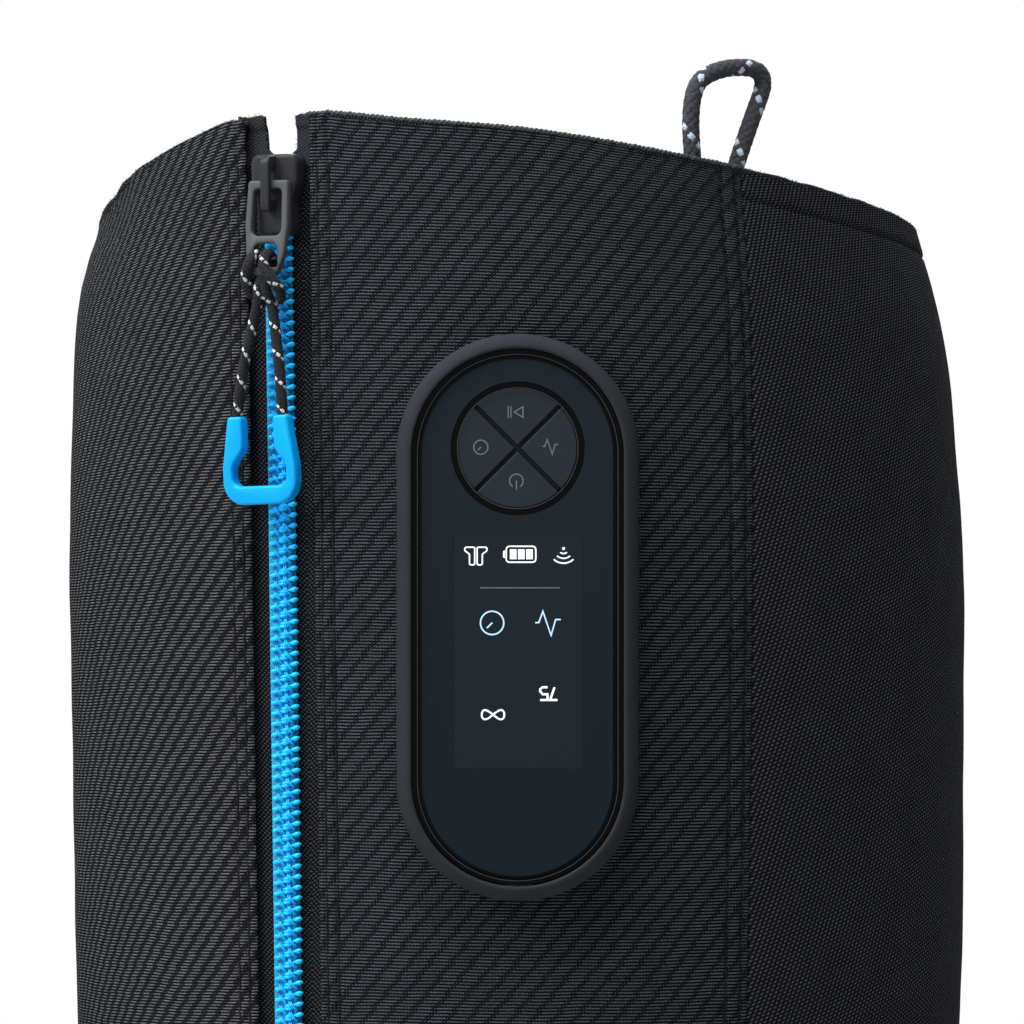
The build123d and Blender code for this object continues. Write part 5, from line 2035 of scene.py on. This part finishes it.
# ---- Zip ------------------------------------------------------------------------------
@dataclass
class Zip:
    """The two tapes, the coils with their sewing, and the strip under them."""

    zip_line: LocalFrame
    repeater: Repeater
    finishes: Finishes
    length: float = 580.0
    tape_outer: float = 13.3
    tape_face: float = -3.35
    tape_thick: float = 1.1
    gap_top: float = 4.75
    gap_chain: float = 0.8
    gap_from: float = -14.0
    flap_from: float = -14.4
    fold: float = 3.3
    coil_start: float = -13.5
    pitch: float = 2.92

    def inner_edge(self, y: np.ndarray) -> np.ndarray:
        """Distance of a tape's inner edge from the middle, y along the chain."""
        return np.interp(y, [self.gap_from, -10.5, -1.5],
                         [self.gap_chain, self.gap_top, self.gap_top + 0.3])

    def tape(self, side: Side) -> None:
        """Builds one woven tape with its folded top end."""
        y = np.concatenate([[-1.4, -1.9, -2.5, -3.3, -4.0, -4.6, -4.9, -5.3, -6.2],
                            np.arange(-7.0, -15, -0.7), np.arange(-15.5, -20, -1.4),
                            np.arange(-21, -self.length - 1, -4.0)])
        share = np.linspace(0, 1, 15)
        inner = self.inner_edge(y)[:, None]
        x = inner + (self.tape_outer - inner) * share[None, :]
        edge_wave = 0.35 * ripple(x, 0 * x, 2.4, 6) * np.exp((y[:, None] + 1.4) * 1.2)
        up = y[:, None] + edge_wave + 0 * x
        folded = 1 / (1 + np.exp(-(y[:, None] + 1.4 + self.fold) * 5))
        depth = (self.tape_face + 0.55 * folded + 0.12 * ripple(x, up, 9, 11)
                 + 0.9 * np.exp((y[:, None] + 1.4) / 5.0) + 0 * x)
        local = np.stack([side.value * x, up, depth], axis=2)
        points, uv = self.zip_line.world(local), local[..., :2]
        if side is Side.RIGHT:
            points, uv = points[::-1], uv[::-1]
        pile = MeshPile()
        pile.grid(points, uv)
        obj = new_object(f"zip_tape_{side.word}_cloth", pile.mesh("zip_tape"))
        paint(obj, self.finishes.tape, self.finishes.flap)
        line = self.zip_line
        for face in obj.data.polygons:
            height = (np.array(face.center) / MM - line.origin) @ line.up
            face.material_index = int(height > self.flap_from)
        thickened(obj, self.tape_thick)
        plain(obj)
        obj.data.shade_smooth()
        settle(obj, BOOT, "zip_tape", f"zip_tape_{side.word}")

    def frayed(self, side: Side, count: int = 24) -> None:
        """Adds the loose fibres at a tape's cut end and along its inner edge."""
        chance = np.random.default_rng(20 + side.value)
        pile = MeshPile()
        for _ in range(count):
            share, across = chance.random(2)
            y = -1.5 if across < 0.5 else -1.5 - 11.0 * share**1.4
            inner = float(self.inner_edge(np.array(y)))
            x = inner + (self.tape_outer - 3.0 - inner) * share if across < 0.5 else inner
            heading = np.array([chance.normal(0, 0.5), 1.0] if across < 0.5
                               else [-1.0, chance.normal(0, 0.8)])
            bend = chance.normal(0, 0.5, 3)
            reach = chance.uniform(0.3, 1.1) * (1.0 if across < 0.5 else 0.6)
            depth = self.tape_face + 0.2 + 0.9 * math.exp((y + 1.4) / 5.0)
            steps = np.linspace(-0.25, 1.0, 5)[:, None]
            curve = np.array([x, y, depth]) + reach * (
                steps * np.array([*heading, 0.1]) + steps**2 * 0.5 * bend)
            curve[:, 0] *= side.value
            pile.tube(self.zip_line.world(curve), 0.04, 4)
        piece(f"zip_tape_{side.word}_fibres", pile, [self.finishes.edge_thread], "zip_tape")

    def tooth(self, side: Side) -> MeshPile:
        """One turn of a coil, with the two sewing threads that hold it down."""
        pile = MeshPile()
        bar = np.array([(-0.9, -0.5, -1.0), (-0.1, -0.4, -0.66), (1.0, -0.18, -0.72),
                        (2.2, 0.06, -0.72), (3.1, 0.26, -0.62), (3.7, 0.38, -0.7),
                        (4.0, 0.44, -1.4)])
        bar[:, :2] *= side.value
        radii = np.array([0.56, 0.66, 0.44, 0.42, 0.64, 0.68, 0.5])
        pile.tube(bar, radii, 8)
        for shift in (-0.34, 0.26):
            thread = np.array([(-0.85 + shift, 1.0, -0.7), (-0.5 + shift, 0.62, 0.0),
                               (0.0 + shift, 0.08, 0.22), (0.5 + shift, -0.55, 0.05),
                               (0.95 + shift, -1.25, -0.75)])
            thread[:, 0] += side.value * 1.5
            pile.tube(thread, 0.19, 5)
        return pile

    def coil(self, side: Side) -> None:
        """Builds one coil by repeating its tooth down the chain."""
        offset = 0.0 if side is Side.RIGHT else self.pitch / 2
        top, bottom = self.coil_start - 1.2 - offset, -self.length + 6.0
        y = np.arange(top, bottom, -self.pitch)
        points = self.zip_line.world(np.stack([0 * y, y, 0 * y], axis=1))
        along = np.tile(self.zip_line.across, (len(y), 1))
        out = np.tile(self.zip_line.out, (len(y), 1))
        obj = self.repeater.place(f"zip_coil_{side.word}_turns", [(points, along, out)],
                                  self.tooth(side).mesh("tooth"), self.finishes.coil, None,
                                  0.0, seed=3)
        settle(obj, BOOT, "blue_coil", f"zip_coil_{side.word}")

    def strip(self) -> None:
        """Builds the blue woven strip that the coils are sewn to."""
        y = np.arange(self.coil_start, -self.length + 1, -3.0)
        profile = np.array([(-5.1, -3.3), (-5.05, -1.7), (-4.5, -1.3), (-0.5, -1.25),
                            (0.5, -1.25), (2.4, -1.3), (2.7, -2.0), (2.7, -3.3)])
        local = np.stack([np.insert(profile, 1, at, axis=1) for at in y])
        pile = MeshPile()
        pile.grid(self.zip_line.world(local)[::-1], local[::-1, :, :2])
        piece("zip_coil_strip", pile, [self.finishes.coil_cloth], "blue_coil")

    def build(self) -> None:
        """Builds the whole zip."""
        for side in Side:
            self.tape(side)
            self.frayed(side)
            self.coil(side)
        self.strip()


@dataclass
class Slider:
    """The zip's slider and its pull tab."""

    zip_line: LocalFrame
    finishes: Finishes
    ends: tuple[float, float] = (-12.0, -34.2)
    half_wide: float = 7.4
    half_narrow: float = 5.6
    channel_half: float = 5.15
    channel_top: float = 0.5
    crown: float = 2.3
    skirt: float = -3.0
    under: tuple[float, float] = (-7.0, -5.0)
    bridge_half: float = 1.35
    hinge: tuple[float, float] = (-20.4, 3.6)
    tilt: float = 6.0

    def half(self, y: np.ndarray) -> np.ndarray:
        """Half-width of the slider at y, with rounded corners at both ends."""
        share = np.clip((y + 25.5) / 6.5, 0, 1)
        half = self.half_narrow + (self.half_wide - self.half_narrow) * share**2 * (3 - 2 * share)
        for away, radius in ((self.ends[0] - y, 2.4), (y - self.ends[1], 1.4)):
            inside = np.clip(radius - away, 0, radius)
            half = half - (radius - np.sqrt(radius**2 - inside**2))
        return np.maximum(half, self.channel_half + 0.2)

    def shell(self) -> bpy.types.Object:
        """Builds the domed top plate with the skirts that guide the chain."""
        top, bottom = self.ends
        y = top - np.concatenate([[0, 0.08, 0.25, 0.5, 0.8, 1.2, 1.7, 2.4],
                                  np.linspace(3.2, top - bottom - 1.6, 16),
                                  top - bottom - np.array([1.1, 0.7, 0.4, 0.15, 0.0])])
        turn = np.linspace(0, math.pi, 27)
        rings = []
        for at, half in zip(y, self.half(y)):
            near = min(top - at, at - bottom)
            inside = max(0.9 - near, 0)
            crown = self.crown - (0.9 - math.sqrt(0.81 - inside**2))
            x = half * np.sign(np.cos(turn)) * np.abs(np.cos(turn)) ** 0.46
            z = crown * np.abs(np.sin(turn)) ** 0.52
            outer = np.column_stack([x, z])
            outer[0, 0], outer[-1, 0] = half, -half
            outer = np.vstack([[half, self.skirt], outer, [-half, self.skirt]])
            inner = np.clip(outer, -self.channel_half, self.channel_half)
            inner[:, 1] = self.channel_top
            inner[[0, -1], 1] = self.skirt
            loop = np.vstack([outer, inner[::-1]])
            rings.append(self.zip_line.world(np.insert(loop, 1, at, axis=1)))
        rings = np.array(rings)
        pile = MeshPile()
        pile.grid(rings, wrap=True)
        count = rings.shape[1]
        for end in (0, -1):
            faces = [(i, i + 1, count - 2 - i, count - 1 - i) for i in range(count // 2 - 1)]
            pile.add(rings[end], faces, [[(0.0, 0.0)] * 4] * len(faces))
        return new_object("slider_shell", outward(pile.mesh("slider_shell")))

    def outline(self) -> np.ndarray:
        """The slider's outline seen from the front."""
        y = np.linspace(self.ends[0], self.ends[1], 40)
        half = self.half(y)
        return np.vstack([np.column_stack([half, y]), np.column_stack([-half, y])[::-1]])

    def body(self) -> None:
        """Builds the slider: shell, wedge, under plate and the bridge over the tab."""
        line = self.zip_line
        sideways = LocalFrame(line.origin, line.up, line.out, line.across)
        bridge = rounded([(-12.5, 1.7, 0), (-12.5, 6.5, 2.4), (-27.7, 6.6, 1.5),
                          (-27.7, 1.7, 0)])
        arch = rounded([(-15.6, 2.1, 0), (-15.6, 4.9, 0.8), (-24.5, 4.9, 0.8), (-24.5, 2.1, 0)])
        wedge = rounded([(-12.4, -5.4, 0), (-12.4, 0.8, 0), (-15.0, 0.8, 0), (-15.0, -5.4, 0)])
        pieces = [
            self.shell(),
            plate_piece("under_plate", line, [self.outline()], *self.under, 0.4),
            plate_piece("bridge", sideways, [bridge, arch], -self.bridge_half,
                        self.bridge_half, 0.32),
            plate_piece("wedge", sideways, [wedge], -0.45, 0.45, 0.1),
        ]
        slider = joined("zip_slider_body", pieces)
        paint(slider, self.finishes.zip_metal)
        settle(slider, "slider", "zip_metal", "zip_slider")

    def tab(self) -> None:
        """Builds the pull tab with its window and the eye for the cord."""
        lean = math.radians(self.tilt)
        line = self.zip_line
        place = LocalFrame(line.world([(0, *self.hinge)])[0], line.across,
                           math.cos(lean) * line.up - math.sin(lean) * line.out,
                           math.sin(lean) * line.up + math.cos(lean) * line.out)
        outline = rounded([(6.3, 1.1, 1.0), (6.75, -11.0, 6.0), (6.0, -19.5, 6.0),
                           (3.9, -25.1, 2.2), (-3.9, -25.1, 2.2), (-6.0, -19.5, 6.0),
                           (-6.75, -11.0, 6.0), (-6.3, 1.1, 1.0)])
        window = rounded([(4.5, -1.1, 1.7), (4.9, -14.1, 2.3), (-4.9, -14.1, 2.3),
                          (-4.5, -1.1, 1.7)])
        eye = rounded([(3.7, -16.1, 2.6), (4.1, -22.8, 0.8), (-4.1, -22.8, 0.8),
                       (-3.7, -16.1, 2.6)])
        tab = joined("zip_pull_tab_plate",
                     [plate_piece("tab", place, [outline, window, eye], -1.1, 1.1, 0.5)])
        paint(tab, self.finishes.tab_metal)
        settle(tab, "pull_tab", "zip_metal", "zip_pull_tab")

    def build(self) -> None:
        """Builds both pieces."""
        self.body()
        self.tab()


# ---- Pump unit ------------------------------------------------------------------------
class Sketch:
    """Flat line drawings in the pump unit's frame, raised a hair off their surface."""

    def __init__(self, pod: LocalFrame, surface: float, thick: float = 0.05) -> None:
        """Starts an empty drawing.

        Args:
            pod: the pump unit's frame.
            surface: height of the surface that it lies on.
            thick: thickness of the lines off the surface.
        """
        self.pod = pod
        self.low, self.high = surface - 0.02, surface + thick
        self.pile = MeshPile()

    def solid(self, outline: Points) -> None:
        """A filled shape, whose outline runs anticlockwise."""
        outline = np.asarray(outline, float)
        self.pile.skin(np.stack([self.pod.level(outline, w) for w in (self.low, self.high)]))

    def line(self, points: Points, width: float, closed: bool = False) -> None:
        """A line of even width with mitred corners."""
        path = np.asarray(points, float)
        if closed:
            before, after = np.roll(path, 1, axis=0), np.roll(path, -1, axis=0)
        else:
            before = np.vstack([2 * path[0] - path[1], path[:-1]])
            after = np.vstack([path[1:], 2 * path[-1] - path[-2]])
        into, away = unit(path - before), unit(after - path)
        side = unit(np.stack([-(into + away)[:, 1], (into + away)[:, 0]], axis=1))
        square = np.stack([-into[:, 1], into[:, 0]], axis=1)
        stretch = 1 / np.maximum((side * square).sum(axis=1), 0.35)
        offset = side * (width / 2 * stretch)[:, None]
        rings = np.stack([self.pod.level(edge, w) for edge, w in (
            (path - offset, self.low), (path - offset, self.high), (path + offset, self.high),
            (path + offset, self.low))], axis=1)
        if closed:
            self.pile.grid(np.concatenate([rings, rings[:1]]), wrap=True)
        else:
            self.pile.skin(rings)

    def arc(self, centre: tuple[float, float], radius: float, start: float, end: float,
            width: float) -> None:
        """An open arc, or a ring over a full turn, angles in degrees."""
        full = abs(end - start) >= 360
        turn = np.radians(np.linspace(start, end, 41)[: 40 if full else 41])
        points = np.stack([centre[0] + radius * np.cos(turn),
                           centre[1] + radius * np.sin(turn)], axis=1)
        self.line(points, width, closed=full)

    def piece(self, name: str, body: str, finish: bpy.types.Material, slot: str) -> None:
        """Makes the drawing a piece."""
        obj = piece(name, self.pile, [finish], slot, body=body, turned=True)
        obj.data.set_sharp_from_angle(angle=math.radians(30))


@dataclass
class PumpUnit:
    """The bezel, face, buttons and display of the pump unit."""

    pod: LocalFrame
    finishes: Finishes
    bezel_size: tuple[float, float] = (65.6, 153.6)
    port: tuple[float, float, float] = (4.8, -1.3, 2.5)
    pad_y: float = 45.7
    eye_distance: float = 1500.0
    plate_front: float = 6.5
    button_top: float = 5.9
    # Places of the marks in pixels of a view from the front, right and down from its
    # upper left corner. First the size of a pixel and the place of the unit's middle.
    pixel: float = 0.27
    middle_px: tuple[float, float] = (517.7, 617.55)
    play_bars_px: tuple[float, float] = (508.2, 511.0)
    play_bar_ends_px: tuple[float, float] = (406.0, 418.0)
    play_arrow_px: Points = ((514.2, 412.0), (523.0, 417.4), (523.0, 406.8))
    dial_mark_px: tuple[float, float] = (480.8, 447.2)
    pulse_mark_px: tuple[float, float] = (550.4, 446.4)
    power_mark_px: tuple[float, float] = (516.4, 480.9)
    # A boot's corners, each with its radius in millimetres, and the line between the boots.
    boot_px: Points = ((464.8, 547.2, 0.5), (464.8, 550.6, 0.4), (469.5, 554.2, 0.4),
                       (469.5, 564.9, 0.5), (474.7, 564.9, 0.5), (474.7, 547.2, 0.4))
    boots_middle_px: float = 475.9
    battery_px: Points = ((506.2, 546.3), (535.8, 562.2))
    wireless_px: tuple[float, float] = (563.6, 548.5)
    rule_px: Points = ((480.0, 587.8), (560.0, 587.8))
    dial_light_px: tuple[float, float] = (492.1, 622.9)
    pulse_light_px: tuple[float, float] = (548.0, 622.6)
    number_px: Points = ((539.8, 687.3), (558.2, 700.0))
    endless_px: tuple[float, float] = (493.0, 714.7)

    def bezel(self) -> None:
        """Builds the softly domed ring, with the charging socket's mouth at its lower end."""
        width, length = self.bezel_size
        profile = [(0.25, -7.0), (0.0, -6.6), (0.0, 3.4), (0.16, 5.0), (0.6, 6.35), (1.3, 7.35),
                   (2.1, 8.0), (2.9, 8.38), (3.55, 8.5), (3.9, 8.42), (4.08, 8.15), (4.1, 7.7),
                   (4.1, 1.0), (4.1, -7.0)]
        pile = MeshPile()
        pile.grid(np.array([self.pod.level(round_ended(width, length, 48, inset), w)
                            for inset, w in profile + profile[:1]]), wrap=True)
        ring = new_object("pump_bezel_ring", outward(pile.mesh("pump_bezel_ring")))
        half, low, high = self.port
        carved(ring, plate_piece("mouth", self.pod, [rounded(
            [(half, -67.0, 0), (-half, -67.0, 0), (-half, -90.0, 0), (half, -90.0, 0)])],
            low, high, 0.9))
        creased(ring.data, 50)
        paint(ring, self.finishes.bezel)
        settle(ring, BOOT, "bezel_plastic", "bezel")

    def ribs(self, width: float = 0.5, reach: float = 15.4) -> None:
        """Builds the thin ribs that stand in the gaps between the buttons."""
        rib = Sketch(self.pod, 4.75)
        rib.low = 1.4
        x, y = 0.0, self.pad_y
        for way in (45.0, 135.0):
            dx, dy = math.cos(math.radians(way)), math.sin(math.radians(way))
            rib.line([(x - reach * dx, y - reach * dy), (x + reach * dx, y + reach * dy)], width)
        rib.piece("button_gap_ribs", BOOT, self.finishes.button, "frame_gloss")

    def edges(self, width: float = 0.16, channel: float = 5.7, dish: float = 16.35) -> None:
        """Builds thin light lines along the channel's edge and round the buttons' dish, painted
        highlights on those edges.

        Args:
            width: width of an edge.
            channel: distance of the channel's edge in from the bezel's outside.
            dish: radius of the dish's edge.
        """
        # Light grey lines a hair above the face: painted highlights where the edges would catch the
        # light.
        edge = Sketch(self.pod, self.plate_front - 0.06)
        edge.line(round_ended(*self.bezel_size, 60, channel), width, closed=True)
        edge.arc((0.0, self.pad_y), dish, 0, 360, width)
        edge.piece("polished_edges", BOOT, self.finishes.edge, "frame_gloss")

    def at(self, x: float, y: float, sunk: float = 0.0) -> tuple[float, float]:
        """Place in the unit's frame of a point seen at a pixel, sunk behind the plate."""
        scale = self.pixel * (1 + sunk / self.eye_distance)
        return (x - self.middle_px[0]) * scale, -(y - self.middle_px[1]) * scale

    def dial(self, sketch: Sketch, x: float, y: float, radius: float, width: float) -> None:
        """A round dial with its pointer at lower left."""
        sketch.arc((x, y), radius, 0, 360, width)
        reach = radius * 0.62
        sketch.line([(x - reach * 0.72, y - reach * 0.72), (x + 0.05, y + 0.05)], width)

    def pulse(self, sketch: Sketch, x: float, y: float, size: float, width: float) -> None:
        """A heartbeat line, size across."""
        shape = [(-0.5, 0.0), (-0.36, 0.0), (-0.2, 0.44), (0.12, -0.5), (0.3, 0.12),
                 (0.5, 0.12)]
        sketch.line([(x + a * size, y + b * size) for a, b in shape], width)

    def button_marks(self) -> None:
        """Prints the four buttons."""
        drop = self.plate_front - self.button_top
        width = 0.36
        marks = {name: Sketch(self.pod, self.button_top)
                 for name in ("play", "dial", "pulse", "power")}
        for x in self.play_bars_px:
            marks["play"].line([self.at(x, y, drop) for y in self.play_bar_ends_px], width * 0.9)
        corners = [self.at(x, y, drop) for x, y in self.play_arrow_px]
        marks["play"].line(corners, width, closed=True)
        self.dial(marks["dial"], *self.at(*self.dial_mark_px, drop), 1.9, width)
        self.pulse(marks["pulse"], *self.at(*self.pulse_mark_px, drop), 4.2, width)
        x, y = self.at(*self.power_mark_px, drop)
        marks["power"].arc((x, y), 1.82, -58, 238, width)
        marks["power"].line([(x, y - 2.45), (x, y + 0.1)], width)
        for name, mark in marks.items():
            mark.piece(f"{name}_mark", f"{name}_button", self.finishes.ink, "button_plastic")

    def display(self) -> None:
        """Lights the display: boots, battery, wireless, dial, pulse and two readings."""
        lit = Sketch(self.pod, self.plate_front)
        middle = self.boots_middle_px
        for way in (1, -1):
            shape = [(*self.at(middle + way * (x - middle), y), radius)
                     for x, y, radius in self.boot_px]
            lit.line(rounded(shape[::way], 4), 0.38, closed=True)
        (left, top), (right, low) = [self.at(x, y) for x, y in self.battery_px]
        lit.line(rounded([(left, low, 1.0), (right, low, 1.0), (right, top, 1.0),
                          (left, top, 1.0)], 5), 0.4, closed=True)
        for share in (0.235, 0.51, 0.785):
            x = left + (right - left) * share
            lit.solid([(x - 0.9, low + 0.8), (x + 0.9, low + 0.8), (x + 0.9, top - 0.8),
                       (x - 0.9, top - 0.8)])
        lit.solid([(left - 0.85, low + 1.3), (left - 0.35, low + 1.1), (left - 0.35, top - 1.1),
                   (left - 0.85, top - 1.3)])
        x, y = self.at(*self.wireless_px)
        for radius in (1.35, 2.65, 3.95):
            lit.arc((x, y), radius, 228, 312, 0.4)
        turn = np.radians(np.arange(0, 360, 30))
        lit.solid([(x + 0.42 * math.cos(t), y + 0.42 * math.sin(t)) for t in turn])
        lit.piece("display_status_lights", BOOT, self.finishes.light, "window_gloss")
        blue = Sketch(self.pod, self.plate_front)
        self.dial(blue, *self.at(*self.dial_light_px), 3.15, 0.4)
        self.pulse(blue, *self.at(*self.pulse_light_px), 6.9, 0.4)
        blue.piece("display_mode_lights", BOOT, self.finishes.blue_light, "window_gloss")
        self.readings()
        rule = Sketch(self.pod, self.plate_front)
        rule.line([self.at(x, y) for x, y in self.rule_px], 0.3)
        rule.piece("display_rule_light", BOOT, self.finishes.dim_light, "window_gloss")

    def readings(self) -> None:
        """Lights the number, which the wearer reads from above, and the endless sign."""
        lit = Sketch(self.pod, self.plate_front)
        (x, y), (right, low) = [self.at(*corner) for corner in self.number_px]
        half = (right - x) / 2
        wide = half - 0.5
        # Upside down, the 7 and the 5 stand to the right and left of each other.
        five = [(0, 1), (-1, 1), (-1, 0.55), (-0.35, 0.55), (0, 0.32), (0, 0.15), (-0.3, 0),
                (-1, 0)]
        seven = [(-1, 1), (0, 1), (-0.6, 0)]
        for shape, start in ((five, 0.1), (seven, half + 0.3)):
            lit.line([(x + start - a * wide, low + (1 - b) * (y - low)) for a, b in shape], 0.58)
        x, y = self.at(*self.endless_px)
        turn = np.linspace(0, TURN, 49)[:-1]
        size = 3.05
        lit.line(np.stack([x + size * np.cos(turn), y + 1.25 * np.sin(2 * turn)], axis=1), 0.5,
                 closed=True)
        lit.piece("display_readings", BOOT, self.finishes.light, "window_gloss")

    def build(self) -> None:
        """Builds the ring, the ribs and every mark on the unit."""
        self.bezel()
        self.ribs()
        self.edges()
        self.button_marks()
        self.display()


def main() -> None:
    """Builds the studio and every piece in order."""
    logging.basicConfig(level=logging.INFO, format="%(name)s: %(message)s")
    zip_line, pod = zip_frame(), pod_frame()
    Studio(pod).build()
    finishes = Finishes()
    HangLoop().build(finishes)
    PullCord(zip_line).build(finishes)
    finishes.dress_nodes()
    repeater = Repeater()
    leg = LegShape(zip_line)
    Sleeve(leg, pod, repeater, finishes).build()
    Foot(leg, repeater, finishes).build()
    Zip(zip_line, repeater, finishes).build()
    Slider(zip_line, finishes).build()
    PumpUnit(pod, finishes).build()


if __name__ == "__main__":
    main()
